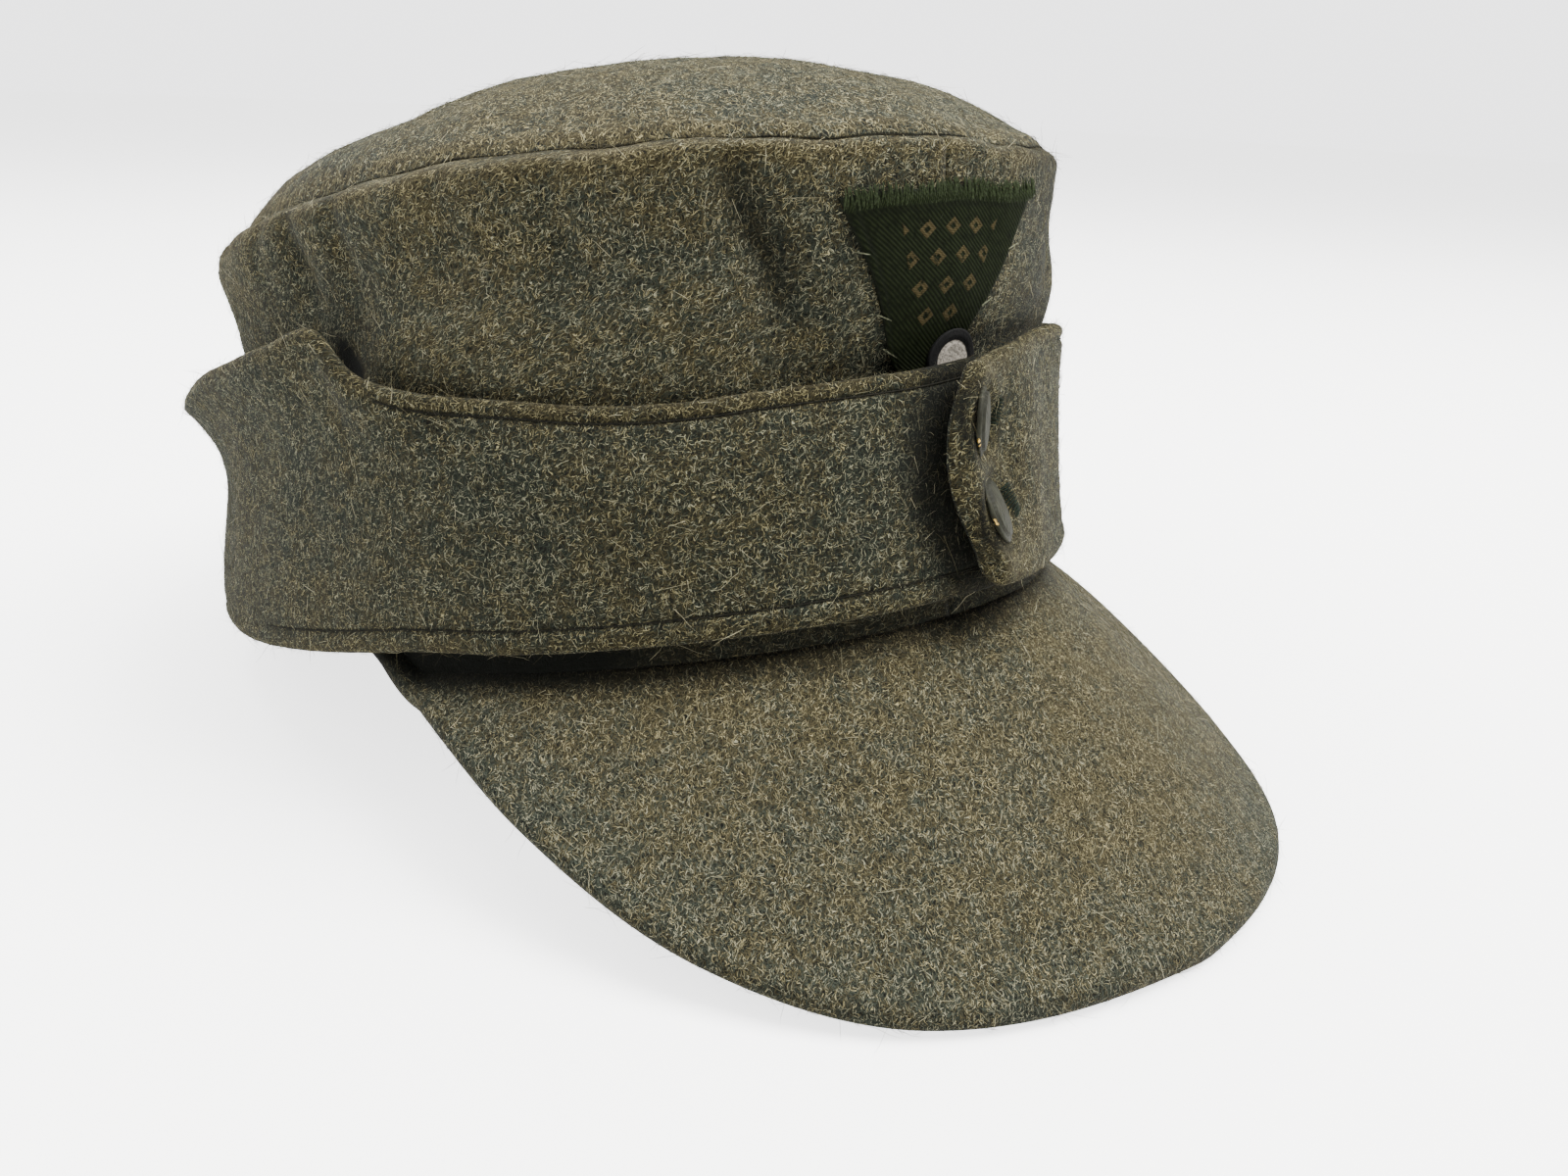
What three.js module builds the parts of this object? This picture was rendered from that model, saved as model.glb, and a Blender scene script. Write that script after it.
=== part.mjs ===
// A soft wool field cap with a stiff peak, at its real size in millimetres.
// The cap is drawn level first: its rim is the plane z = 0, its front faces -Y and the wearer's
// right ear is at -X. It is then tipped back onto its peak, as it stands on a table.
// Angles are in degrees round the head: 0 at the centre front, 90 at the wearer's right ear,
// 180 at the centre back, and minus at the wearer's left.
import * as THREE from 'three';

// Driving sizes
const CROWN_CLOTH = 2.6;
const TURN_UP_CLOTH = 3.6;
const PEAK_THICKNESS = 4.4;
const PATCH_THICKNESS = 0.9;

// The cap stands on the edge of its peak and the back of its rim, which the table flattens.
const REST_TILT = 13.7;
const REST_PRESS = 1.5;

// Ovals seen from above. narrowing draws the front half in, and power squares the ends slightly.
const OVAL_POWER = 2.12;
const NARROWING = 0.067;
const RIM = { halfLength: 107, halfWidth: 91.1, forward: 0 };

// The front left of the cap is pressed in a little, most at the rim.
const LEFT_PRESS = { depth: 5.2, lowest: 10, highest: 60 };

// Crown side: one oval for each height, from the band to the seam of the top panel.
const CROWN_SECTIONS = [
  { height: -3, halfLength: 101.9, halfWidth: 86.1, forward: 0.2 },
  { height: 22, halfLength: 100.6, halfWidth: 83.4, forward: 0.3 },
  { height: 36, halfLength: 99.7, halfWidth: 80.2, forward: 0.9 },
  { height: 44, halfLength: 99.5, halfWidth: 78.9, forward: 1.8 },
  { height: 55, halfLength: 101.2, halfWidth: 79.0, forward: 5.5 },
  { height: 66, halfLength: 101.4, halfWidth: 80.6, forward: 7.4 },
  { height: 73, halfLength: 101.6, halfWidth: 82.4, forward: 8.4 },
  { height: 78, halfLength: 100.6, halfWidth: 80.2, forward: 9.4 },
  { height: 79.7, halfLength: 99.1, halfWidth: 76.2, forward: 10.0 },
];
const CROWN_LEVELS = [0, 0.22, 0.42, 0.53, 0.59, 0.65, 0.73, 0.83, 0.92, 0.97, 1];
const SEAM_HEIGHT = 79.7;
const SEAM_SWAY = 3;
const BAND_FOOT = { front: -3, back: 1.4, from: 76, to: 100 };
const FRONT_SEAM = 4;
const PANEL_COLUMNS = 49;
const SEAM_GAP_TURN = 0.09;
const SEAM_GAP_LEVEL = 0.0022;

// Soft upright folds pressed into the crown side, each from a low point up to the seam.
const CROWN_FOLDS = [
  { lowAngle: 22, topAngle: 32, low: 42, depth: 2.6, width: 5.0 },
  { lowAngle: 47, topAngle: 52, low: 50, depth: 1.4, width: 4.5 },
  { lowAngle: 76, topAngle: 78, low: 56, depth: 1.4, width: 4.0 },
  { lowAngle: 84, topAngle: 87, low: 54, depth: 1.8, width: 4.5 },
  { lowAngle: 128, topAngle: 122, low: 52, depth: 1.5, width: 6.0 },
  { lowAngle: -146, topAngle: -140, low: 52, depth: 1.6, width: 6.0 },
  { lowAngle: -88, topAngle: -84, low: 50, depth: 1.8, width: 5.0 },
  { lowAngle: -55, topAngle: -59, low: 48, depth: 1.5, width: 5.0 },
  { lowAngle: -27, topAngle: -33, low: 46, depth: 1.8, width: 5.0 },
];
const FOLD_ONSET = { below: 6, above: 12 };
const FOLDS_FADE = { from: 69, to: 78.5 };

// Top panel: a low dome whose highest point lies behind the middle of its seam.
const DOME = { rise: 24.9, fullness: 3.6, summitBack: 8 };
const DOME_LEVELS = [0.003, 0.05, 0.13, 0.26, 0.44, 0.66, 0.86];

// Turned-up flaps: the height of the upper edge, how far the wall draws in at its waist
// and how far the edge stands out, the same on both sides of the cap.
const TURN_UP_EDGE = [
  { angle: 0, height: 42.3, waist: 0.0, flare: 0.0 },
  { angle: 10, height: 41.4, waist: 0.0, flare: 0.0 },
  { angle: 22, height: 40.9, waist: 0.0, flare: 0.0 },
  { angle: 34, height: 40.2, waist: 0.0, flare: 0.0 },
  { angle: 44, height: 41.2, waist: 0.0, flare: 0.0 },
  { angle: 52, height: 43.4, waist: 0.0, flare: 0.2 },
  { angle: 60, height: 45.6, waist: 0.2, flare: 0.8 },
  { angle: 65, height: 47.6, waist: 0.6, flare: 1.6 },
  { angle: 68, height: 50.0, waist: 1.0, flare: 2.2 },
  { angle: 70, height: 53.5, waist: 1.2, flare: 2.6 },
  { angle: 72, height: 58.4, waist: 1.5, flare: 3.0 },
  { angle: 74, height: 59.2, waist: 1.7, flare: 3.0 },
  { angle: 80, height: 57.4, waist: 2.6, flare: 2.4 },
  { angle: 88, height: 54.9, waist: 3.6, flare: 1.6 },
  { angle: 97, height: 51.6, waist: 4.6, flare: 0.9 },
  { angle: 108, height: 50.0, waist: 5.2, flare: 0.4 },
  { angle: 130, height: 49.5, waist: 4.6, flare: 0.6 },
  { angle: 155, height: 50.5, waist: 3.6, flare: 1.0 },
  { angle: 180, height: 51.5, waist: 3.0, flare: 1.2 },
];
const WAIST_END = 0.92;
const FLARE_FROM = 0.7;
const LEFT_EDGE_LIFT = { rise: 4, from: -6, full: 20, fading: 36, gone: 66 };
const HEM_TURN = { height: 4, inward: 0.7 };
const TURN_UP_LEVELS = [0, 0.08, 0.3, 0.54, 0.76, 0.9, 1];

// Columns of a flap, from the centre back forwards. They are closest where its edge drops.
const FLAP_BACK = { from: 180, to: 82, columns: 20 };
const FLAP_SIDE = { from: 78, to: 62, columns: 9 };
const FLAP_FRONT = { from: 57, columns: 14 };

// The left flap's end is buttoned over the right flap's end. Its free edge is a shallow curve.
const UNDER_END = -1.5;
const LAP = { from: -17, to: 9, stand: 7.2, bottomLift: 1.5 };
const LAPPED_END = { from: -6, parts: [1, 0.92, 0.75, 0.5, 0.25] };
const OVER_END = [
  { height: 0, angle: 2.6 },
  { height: 4, angle: 4.1 },
  { height: 10, angle: 5.5 },
  { height: 17, angle: 7.2 },
  { height: 24, angle: 7.8 },
  { height: 31, angle: 7.1 },
  { height: 37, angle: 5.2 },
  { height: 43, angle: 2.8 },
];

// Peak: its reach from the band, its slope below the rim and its heading, at angles round the band.
const PEAK_ROOT = { inset: 5.0, height: -3.4 };
const PEAK_GRID = { columns: 37, rows: 8 };
const PEAK_RIBS = [
  { angle: 0, reachRight: 71.6, reachLeft: 71.6, slope: 50.1, heading: 0 },
  { angle: 22.4, reachRight: 65.0, reachLeft: 68.6, slope: 50.4, heading: 27.4 },
  { angle: 37.3, reachRight: 50.4, reachLeft: 58.6, slope: 49.7, heading: 44.2 },
  { angle: 52.2, reachRight: 29.0, reachLeft: 39.9, slope: 45.5, heading: 58.9 },
  { angle: 63.3, reachRight: 12.9, reachLeft: 22.6, slope: 38.0, heading: 68.0 },
  { angle: 72.5, reachRight: 2.2, reachLeft: 8.0, slope: 28.0, heading: 74.0 },
];

// Badge patch: an inverted trapezoid on the crown front. sideways is to the wearer's right.
const PATCH = {
  standOff: 0.7,
  low: { height: 32.5, rightEdge: 11.0, leftEdge: 2.0 },
  high: { height: 70.0, rightEdge: 26.5, leftEdge: -17.5 },
  grid: { columns: 11, rows: 7 },
};

// Buttons: low domed discs that stand on the lapped end. The dome's profile is given in parts
// of the radius and of the dome's height.
const BUTTON = { radius: 6.1, rim: 1.0, edge: 0.4, dome: 1.5, sides: 24, clearance: 0.5 };
const BUTTON_DOME = [
  { out: 0.72, up: 0.62 },
  { out: 0.38, up: 0.92 },
  { out: 0, up: 1 },
];
const BUTTON_PLACES = [
  { name: 'button_upper', angle: 2.8, height: 30.6 },
  { name: 'button_lower', angle: 1.6, height: 14.4 },
];

// Small maths used throughout
const { degToRad, clamp, smoothstep, lerp } = THREE.MathUtils;

function signedPower(value) {
  return Math.sign(value) * Math.abs(value) ** (2 / OVAL_POWER);
}

// A smooth curve through one column of a table, read at a value of its key column.
function alongTable(rows, key, column, value) {
  const at = clamp(value, rows[0][key], rows[rows.length - 1][key]);
  let row = 0;
  while (row < rows.length - 2 && rows[row + 1][key] < at) row += 1;
  const slopeAt = (index) => {
    const before = rows[Math.max(index - 1, 0)];
    const after = rows[Math.min(index + 1, rows.length - 1)];
    return (after[column] - before[column]) / (after[key] - before[key]);
  };
  const start = rows[row];
  const end = rows[row + 1];
  const span = end[key] - start[key];
  const part = (at - start[key]) / span;
  const square = part * part;
  const cube = square * part;
  return (2 * cube - 3 * square + 1) * start[column]
    + (cube - 2 * square + part) * span * slopeAt(row)
    + (3 * square - 2 * cube) * end[column]
    + (cube - square) * span * slopeAt(row + 1);
}

// Places on the cap, before it is tipped onto its peak
function leftPress(angle, height) {
  const turn = degToRad(angle);
  if (Math.cos(turn) <= 0) return 0;
  const round = Math.max(0, -Math.sin(2 * turn)) ** 2;
  const fade = 1 - smoothstep(height, LEFT_PRESS.lowest, LEFT_PRESS.highest);
  return LEFT_PRESS.depth * round * fade;
}

function ovalPoint(oval, angle, height, outward) {
  const turn = degToRad(angle);
  const press = leftPress(angle, height);
  const forward = oval.forward
    + (oval.halfLength + outward) * signedPower(Math.cos(turn)) - press * Math.cos(turn);
  const sideways = (oval.halfWidth + outward) * signedPower(Math.sin(turn))
    * (1 - NARROWING * Math.cos(turn)) - press * Math.sin(turn);
  return new THREE.Vector3(-sideways, -forward, height);
}

function seamHeight(angle) {
  return SEAM_HEIGHT - SEAM_SWAY * Math.cos(2 * degToRad(angle));
}

function foldDepth(angle, height) {
  let depth = 0;
  for (const fold of CROWN_FOLDS) {
    const climb = clamp((height - fold.low) / (SEAM_HEIGHT - fold.low), 0, 1);
    const middle = lerp(fold.lowAngle, fold.topAngle, climb);
    const off = (angle - middle) / fold.width;
    const strength = smoothstep(height, fold.low - FOLD_ONSET.below, fold.low + FOLD_ONSET.above);
    depth += fold.depth * strength * Math.exp(-off * off);
  }
  return depth * (1 - smoothstep(height, FOLDS_FADE.from, FOLDS_FADE.to));
}

// The crown's outer face at an angle and a height given for an even seam.
function crownPoint(angle, evenHeight) {
  const oval = {};
  for (const column of ['halfLength', 'halfWidth', 'forward']) {
    oval[column] = alongTable(CROWN_SECTIONS, 'height', column, evenHeight);
  }
  const stretch = seamHeight(angle) / SEAM_HEIGHT;
  const height = evenHeight > 0 ? evenHeight * stretch : evenHeight;
  return ovalPoint(oval, angle, height, -foldDepth(angle, evenHeight));
}

// The top panel's outer face, from its seam at 0 to its highest point at 1.
function domePoint(angle, inward) {
  const out = 1 - inward;
  const seam = crownPoint(angle, SEAM_HEIGHT);
  const middleY = -CROWN_SECTIONS.at(-1).forward + DOME.summitBack;
  const sway = (seamHeight(angle) - SEAM_HEIGHT) * out * out;
  const rise = DOME.rise * (1 - out ** DOME.fullness);
  return new THREE.Vector3(seam.x * out, lerp(middleY, seam.y, out), SEAM_HEIGHT + sway + rise);
}

// The turned-up wall's outer face. side is 1 for the right flap and -1 for the left one.
function turnUpPoint(side, angle, level) {
  const away = side * angle;
  const shape = {};
  for (const column of ['height', 'waist', 'flare']) {
    shape[column] = alongTable(TURN_UP_EDGE, 'angle', column, away);
  }
  let outward = 0;
  let foot = 0;
  if (side < 0) {
    const { rise, from, full, fading, gone } = LEFT_EDGE_LIFT;
    shape.height += rise * smoothstep(away, from, full) * (1 - smoothstep(away, fading, gone));
    const lapped = smoothstep(angle, LAP.from, LAP.to);
    outward += LAP.stand * lapped;
    foot = LAP.bottomLift * lapped;
  }
  const height = lerp(foot, shape.height, level);
  outward -= shape.waist * Math.sin(Math.PI * clamp(level / WAIST_END, 0, 1) ** 2);
  outward += shape.flare * smoothstep(level, FLARE_FROM, 1);
  outward -= HEM_TURN.inward * (1 - smoothstep(height - foot, 0, HEM_TURN.height));
  return ovalPoint(RIM, angle, height, outward);
}

// The peak's upper face, from its free edge at 0 to the band at 1.
function peakPoint(angle, inward) {
  const rib = {};
  for (const column of ['reachRight', 'reachLeft', 'slope', 'heading']) {
    rib[column] = alongTable(PEAK_RIBS, 'angle', column, Math.abs(angle));
  }
  const heading = degToRad(Math.sign(angle) * rib.heading);
  const slope = degToRad(rib.slope);
  const length = (1 - inward) * (angle < 0 ? rib.reachLeft : rib.reachRight);
  const root = ovalPoint(RIM, angle, PEAK_ROOT.height, -PEAK_ROOT.inset);
  return root.add(new THREE.Vector3(
    -length * Math.cos(slope) * Math.sin(heading),
    -length * Math.cos(slope) * Math.cos(heading),
    -length * Math.sin(slope),
  ));
}

// The angle at which the crown's face lies a given distance to the wearer's right, found by
// halving the span of angles across the front.
function angleAcross(sideways, evenHeight) {
  const halvings = 30;
  let low = -60;
  let high = 60;
  for (let step = 0; step < halvings; step += 1) {
    const middle = (low + high) / 2;
    if (-crownPoint(middle, evenHeight).x < sideways) low = middle;
    else high = middle;
  }
  return (low + high) / 2;
}

// Closed walls. A surface gives the outer face at an angle and a level, and the level grows
// upwards or inwards.
function surfaceNormal(surface, angle, level, step = { angle: 0.2, level: 0.004 }) {
  const around = surface(angle + step.angle, level).sub(surface(angle - step.angle, level));
  const up = surface(angle, level + step.level).sub(surface(angle, level - step.level));
  return up.cross(around).normalize();
}

// The table's height in the level cap's frame: nothing of the cap reaches below it.
function settle(point) {
  const tilt = degToRad(REST_TILT);
  const table = (point.y - RIM.halfLength) * Math.tan(tilt) + REST_PRESS / Math.cos(tilt);
  return new THREE.Vector3(point.x, point.y, Math.max(point.z, table));
}

// Joins an outer and an inner grid of points into one closed body. A round grid's last column
// meets its first one, and a crowned grid ends in one point on each face.
function joinGrids(outer, inner, { round = false, crowned = false }) {
  const rows = outer.length;
  const columns = outer[0].length;
  const positions = [];
  for (const row of [...outer, ...inner]) {
    for (const point of row) positions.push(point.x, point.y, point.z);
  }
  const at = (layer, row, column) => (layer * rows + row) * columns + (column % columns);
  const faces = [];
  const quad = (a, b, c, d) => faces.push(a, b, c, a, c, d);
  const top = rows - 1;
  const lastColumn = round ? columns : columns - 1;
  for (let column = 0; column < lastColumn; column += 1) {
    const next = column + 1;
    for (let row = 0; row < top; row += 1) {
      quad(at(0, row, column), at(0, row, next), at(0, row + 1, next), at(0, row + 1, column));
      quad(at(1, row, column), at(1, row + 1, column), at(1, row + 1, next), at(1, row, next));
    }
    quad(at(0, 0, column), at(1, 0, column), at(1, 0, next), at(0, 0, next));
    if (!crowned) {
      quad(at(0, top, column), at(0, top, next), at(1, top, next), at(1, top, column));
    }
  }
  if (!round) {
    const end = columns - 1;
    for (let row = 0; row < top; row += 1) {
      quad(at(0, row, 0), at(0, row + 1, 0), at(1, row + 1, 0), at(1, row, 0));
      quad(at(0, row, end), at(1, row, end), at(1, row + 1, end), at(0, row + 1, end));
    }
  }
  if (crowned) {
    [outer, inner].forEach((grid, layer) => {
      const middle = new THREE.Vector3();
      for (const point of grid[top]) middle.addScaledVector(point, 1 / columns);
      const tip = positions.length / 3;
      positions.push(middle.x, middle.y, middle.z);
      for (let column = 0; column < columns; column += 1) {
        const pair = [at(layer, top, column), at(layer, top, column + 1)];
        if (layer === 1) pair.reverse();
        faces.push(...pair, tip);
      }
    });
  }
  const geometry = new THREE.BufferGeometry();
  geometry.setAttribute('position', new THREE.Float32BufferAttribute(positions, 3));
  geometry.setIndex(faces);
  geometry.computeVertexNormals();
  return geometry;
}

// A wall of even thickness behind a surface. An angle may depend on the level, as at a cut end.
function wall(surface, angles, levels, thickness, options = {}) {
  const outer = [];
  const inner = [];
  for (const level of levels) {
    const outerRow = [];
    const innerRow = [];
    for (const angle of angles) {
      const turn = typeof angle === 'function' ? angle(level) : angle;
      const point = surface(turn, level);
      const mitre = options.mitre ? options.mitre(turn, level) : null;
      const normal = mitre ?? surfaceNormal(surface, turn, level);
      outerRow.push(settle(point));
      innerRow.push(settle(point.clone().addScaledVector(normal, -thickness)));
    }
    outer.push(outerRow);
    inner.push(innerRow);
  }
  return joinGrids(outer, inner, options);
}

function spread(from, to, count) {
  return Array.from({ length: count }, (_, index) => lerp(from, to, index / (count - 1)));
}

// Crown side: two panels that meet at a seam in front and a seam at the back.
function crownFoot(angle) {
  const lifted = smoothstep(Math.abs(angle), BAND_FOOT.from, BAND_FOOT.to);
  return lerp(BAND_FOOT.front, BAND_FOOT.back, lifted);
}

function crownSurface(angle, level) {
  return crownPoint(angle, lerp(crownFoot(angle), SEAM_HEIGHT, level));
}

// The side panels and the top panel end in one slanting face along their seam.
function seamMitre(angle) {
  const turn = degToRad(angle);
  return new THREE.Vector3(-Math.sin(turn), -Math.cos(turn), 1).normalize();
}

function crownSideGeometry(side) {
  const back = 180 * side - side * SEAM_GAP_TURN;
  const front = FRONT_SEAM + side * SEAM_GAP_TURN;
  const ends = side > 0 ? [back, front] : [front, back];
  const angles = spread(...ends, PANEL_COLUMNS);
  const top = CROWN_LEVELS.length - 1;
  const levels = CROWN_LEVELS.map((level, row) => (row === top ? level - SEAM_GAP_LEVEL : level));
  const mitre = (angle, level) => (level === levels[top] ? seamMitre(angle) : null);
  return wall(crownSurface, angles, levels, CROWN_CLOTH, { mitre });
}

function crownTopGeometry() {
  const right = spread(180, FRONT_SEAM, PANEL_COLUMNS);
  const left = spread(FRONT_SEAM, -180, PANEL_COLUMNS);
  const angles = [...right, ...left.slice(1, -1)];
  const mitre = (angle, level) => (level === DOME_LEVELS[0] ? seamMitre(angle) : null);
  return wall(domePoint, angles, DOME_LEVELS, CROWN_CLOTH, { mitre, round: true, crowned: true });
}

// Turned-up flaps: they meet at the centre back and lap over each other in front.
function rightFlapGeometry() {
  const angles = [
    ...spread(FLAP_BACK.from - SEAM_GAP_TURN, FLAP_BACK.to, FLAP_BACK.columns),
    ...spread(FLAP_SIDE.from, FLAP_SIDE.to, FLAP_SIDE.columns),
    ...spread(FLAP_FRONT.from, UNDER_END, FLAP_FRONT.columns),
  ];
  const surface = (angle, level) => turnUpPoint(1, angle, level);
  return wall(surface, angles, TURN_UP_LEVELS, TURN_UP_CLOTH);
}

function leftFlapGeometry() {
  const surface = (angle, level) => turnUpPoint(-1, angle, level);
  const endAngle = (level) => {
    const { z } = surface(0, level);
    return alongTable(OVER_END, 'height', 'angle', z);
  };
  const lapped = LAPPED_END.parts.map(
    (part) => (level) => lerp(LAPPED_END.from, endAngle(level), part),
  );
  const angles = [
    ...lapped,
    ...spread(LAPPED_END.from, -FLAP_FRONT.from, FLAP_FRONT.columns),
    ...spread(-FLAP_SIDE.to, -FLAP_SIDE.from, FLAP_SIDE.columns),
    ...spread(-FLAP_BACK.to, SEAM_GAP_TURN - FLAP_BACK.from, FLAP_BACK.columns),
  ];
  return wall(surface, angles, TURN_UP_LEVELS, TURN_UP_CLOTH);
}

function peakGeometry() {
  const end = PEAK_RIBS.at(-1).angle;
  const parts = spread(1, -1, PEAK_GRID.columns);
  const angles = parts.map((part) => end * Math.sin(part * Math.PI / 2));
  return wall(peakPoint, angles, spread(0, 1, PEAK_GRID.rows), PEAK_THICKNESS);
}

// Badge patch: it follows the crown's face and stands a little off it.
function patchPoint(across, level) {
  const height = lerp(PATCH.low.height, PATCH.high.height, level);
  const rightEdge = lerp(PATCH.low.rightEdge, PATCH.high.rightEdge, level);
  const leftEdge = lerp(PATCH.low.leftEdge, PATCH.high.leftEdge, level);
  const angle = angleAcross(lerp(leftEdge, rightEdge, across), height);
  const normal = surfaceNormal(crownPoint, angle, height, { angle: 0.5, level: 0.3 });
  return crownPoint(angle, height).addScaledVector(normal, PATCH.standOff + PATCH_THICKNESS);
}

function patchGeometry() {
  const { columns, rows } = PATCH.grid;
  const step = { angle: 0.02, level: 0.02 };
  const mitre = (across, level) => surfaceNormal(patchPoint, across, level, step);
  return wall(patchPoint, spread(1, 0, columns), spread(0, 1, rows), PATCH_THICKNESS, { mitre });
}

// Buttons
function buttonGeometry() {
  const { radius, rim, edge, dome, sides } = BUTTON;
  const profile = [
    new THREE.Vector2(0, 0),
    new THREE.Vector2(radius - edge, 0),
    new THREE.Vector2(radius, edge),
    new THREE.Vector2(radius, rim),
    ...BUTTON_DOME.map(({ out, up }) => new THREE.Vector2(radius * out, rim + dome * up)),
  ];
  return new THREE.LatheGeometry(profile, sides);
}

function placeOnLap(mesh, { angle, height }) {
  const surface = (turn, level) => turnUpPoint(-1, turn, level);
  const level = height / surface(angle, 1).z;
  const normal = surfaceNormal(surface, angle, level);
  mesh.quaternion.setFromUnitVectors(new THREE.Vector3(0, 1, 0), normal);
  mesh.position.copy(surface(angle, level)).addScaledVector(normal, BUTTON.clearance);
}

// Materials
const wool = { roughness: 0.97, metalness: 0 };
const FINISHES = {
  crown_wool: { ...wool, color: 0x666352 },
  turn_up_wool: { ...wool, color: 0x545443 },
  peak_wool: { ...wool, color: 0x6b6552 },
  patch_twill: { color: 0x2c3220, roughness: 0.85, metalness: 0 },
  painted_metal: { color: 0x5f6152, roughness: 0.6, metalness: 0.35 },
};

function piece(name, geometry, finish) {
  const mesh = new THREE.Mesh(geometry, new THREE.MeshStandardMaterial(FINISHES[finish]));
  mesh.name = name;
  return mesh;
}

// The level cap, piece by piece
const cap = new THREE.Group();
cap.add(
  piece('crown_side_right', crownSideGeometry(1), 'crown_wool'),
  piece('crown_side_left', crownSideGeometry(-1), 'crown_wool'),
  piece('crown_top', crownTopGeometry(), 'crown_wool'),
  piece('turn_up_right', rightFlapGeometry(), 'turn_up_wool'),
  piece('turn_up_left', leftFlapGeometry(), 'turn_up_wool'),
  piece('peak', peakGeometry(), 'peak_wool'),
  piece('badge_patch', patchGeometry(), 'patch_twill'),
);
for (const place of BUTTON_PLACES) {
  const button = piece(place.name, buttonGeometry(), 'painted_metal');
  placeOnLap(button, place);
  cap.add(button);
}

// Tipped back until the peak's edge and the back of the rim stand on the table, and centred
cap.rotation.x = -degToRad(REST_TILT);
cap.updateMatrixWorld(true);
const box = new THREE.Box3().setFromObject(cap, true);
cap.position.set(-(box.min.x + box.max.x) / 2, -(box.min.y + box.max.y) / 2, -box.min.z);

const fieldCap = new THREE.Group();
fieldCap.add(cap);

export default fieldCap;
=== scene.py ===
"""Looks of a soft wool field cap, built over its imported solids.

The cap's shape is worked out level, in millimetres, with its front towards -Y and the wearer's
right at -X. It is then tipped back onto its peak, as it stands on the table, and made metres.
Angles are degrees round the head: 0 in front, 90 at the wearer's right ear, minus at the left.
"""

import logging
import math
from dataclasses import dataclass, field
from enum import Enum
from functools import cache
from typing import Any, Callable, NamedTuple, Sequence

import bmesh
import bpy
import numpy as np
from mathutils import Matrix, Vector, noise


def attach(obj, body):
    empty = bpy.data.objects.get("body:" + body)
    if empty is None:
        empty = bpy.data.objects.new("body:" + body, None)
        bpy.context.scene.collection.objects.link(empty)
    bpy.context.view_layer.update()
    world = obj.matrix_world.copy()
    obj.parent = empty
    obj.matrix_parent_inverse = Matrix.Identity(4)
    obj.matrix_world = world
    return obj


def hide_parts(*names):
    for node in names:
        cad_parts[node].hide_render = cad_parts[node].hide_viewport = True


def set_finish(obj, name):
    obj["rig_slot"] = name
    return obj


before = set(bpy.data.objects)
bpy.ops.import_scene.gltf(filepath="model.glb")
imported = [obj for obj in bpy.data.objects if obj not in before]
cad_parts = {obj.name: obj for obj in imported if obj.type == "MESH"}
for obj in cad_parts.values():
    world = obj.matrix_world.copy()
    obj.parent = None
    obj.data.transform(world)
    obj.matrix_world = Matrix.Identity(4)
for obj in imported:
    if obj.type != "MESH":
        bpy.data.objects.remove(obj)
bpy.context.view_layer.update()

LOG = logging.getLogger("field_cap")
MM = 0.001
BODY = "root"

Array = np.ndarray
Point = tuple[float, float, float]
Colour = tuple[float, float, float]
Pair = tuple[float, float]
Socket = bpy.types.NodeSocket
Material = bpy.types.Material
Piece = bpy.types.Object
Tree = bpy.types.NodeTree


class Side(Enum):
    """Which ear a piece covers. The value is the sign of its angles."""

    RIGHT = 1
    LEFT = -1


class Section(NamedTuple):
    """One oval of the crown side, at an even height above the rim."""

    height: float
    half_length: float
    half_width: float
    forward: float


class Fold(NamedTuple):
    """A soft fold pressed into the crown side, from its low end up to the seam."""

    low_angle: float
    top_angle: float
    low: float
    depth: float
    width: float


class EdgePoint(NamedTuple):
    """The turned-up flap at one angle from the front."""

    angle: float
    height: float
    waist: float
    flare: float


class Rib(NamedTuple):
    """The peak at one angle round the band."""

    angle: float
    reach_right: float
    reach_left: float
    slope: float
    heading: float


class ButtonPress(NamedTuple):
    """How a button pulls the lapped cloth: turned aside and up, in degrees, and pressed in."""

    angle: float
    height: float
    aside: float
    up: float
    sunk: float


class EndPoint(NamedTuple):
    """The lapped end's free edge at one height."""

    height: float
    angle: float


class Plateau(NamedTuple):
    """A smooth climb from 0 to 1 and, further on, a smooth fall back to 0."""

    climb: float
    full: float
    fall: float
    gone: float

    def at(self, value: Array) -> Array:
        """Returns the plateau's height at a value."""
        return smooth(value, self.climb, self.full) * (1 - smooth(value, self.fall, self.gone))


class Swell(NamedTuple):
    """A bell. Its size is minus where it sinks."""

    middle: float
    width: float
    size: float

    def at(self, value: Array) -> Array:
        """Returns the bell's height at a value."""
        return self.size * bump(value, self.middle, self.width)


class Ripple(NamedTuple):
    """A random unevenness of the cloth. The finer it is, the larger its scale."""

    size: float
    scale: float
    seed: float

    def at(self, points: Array) -> Array:
        """Returns the ripple's height at level points."""
        return self.size * cloth_noise(points, self.scale, self.seed)


def smooth(value: Array, low: float, high: float) -> Array:
    """Returns a smooth step from 0 at low to 1 at high."""
    part = np.clip((value - low) / (high - low), 0.0, 1.0)
    return part * part * (3.0 - 2.0 * part)


def bump(distance: Array, middle: float, width: float) -> Array:
    """Returns a bell of height 1 at middle, as wide as width."""
    return np.exp(-(((distance - middle) / width) ** 2))


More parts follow.
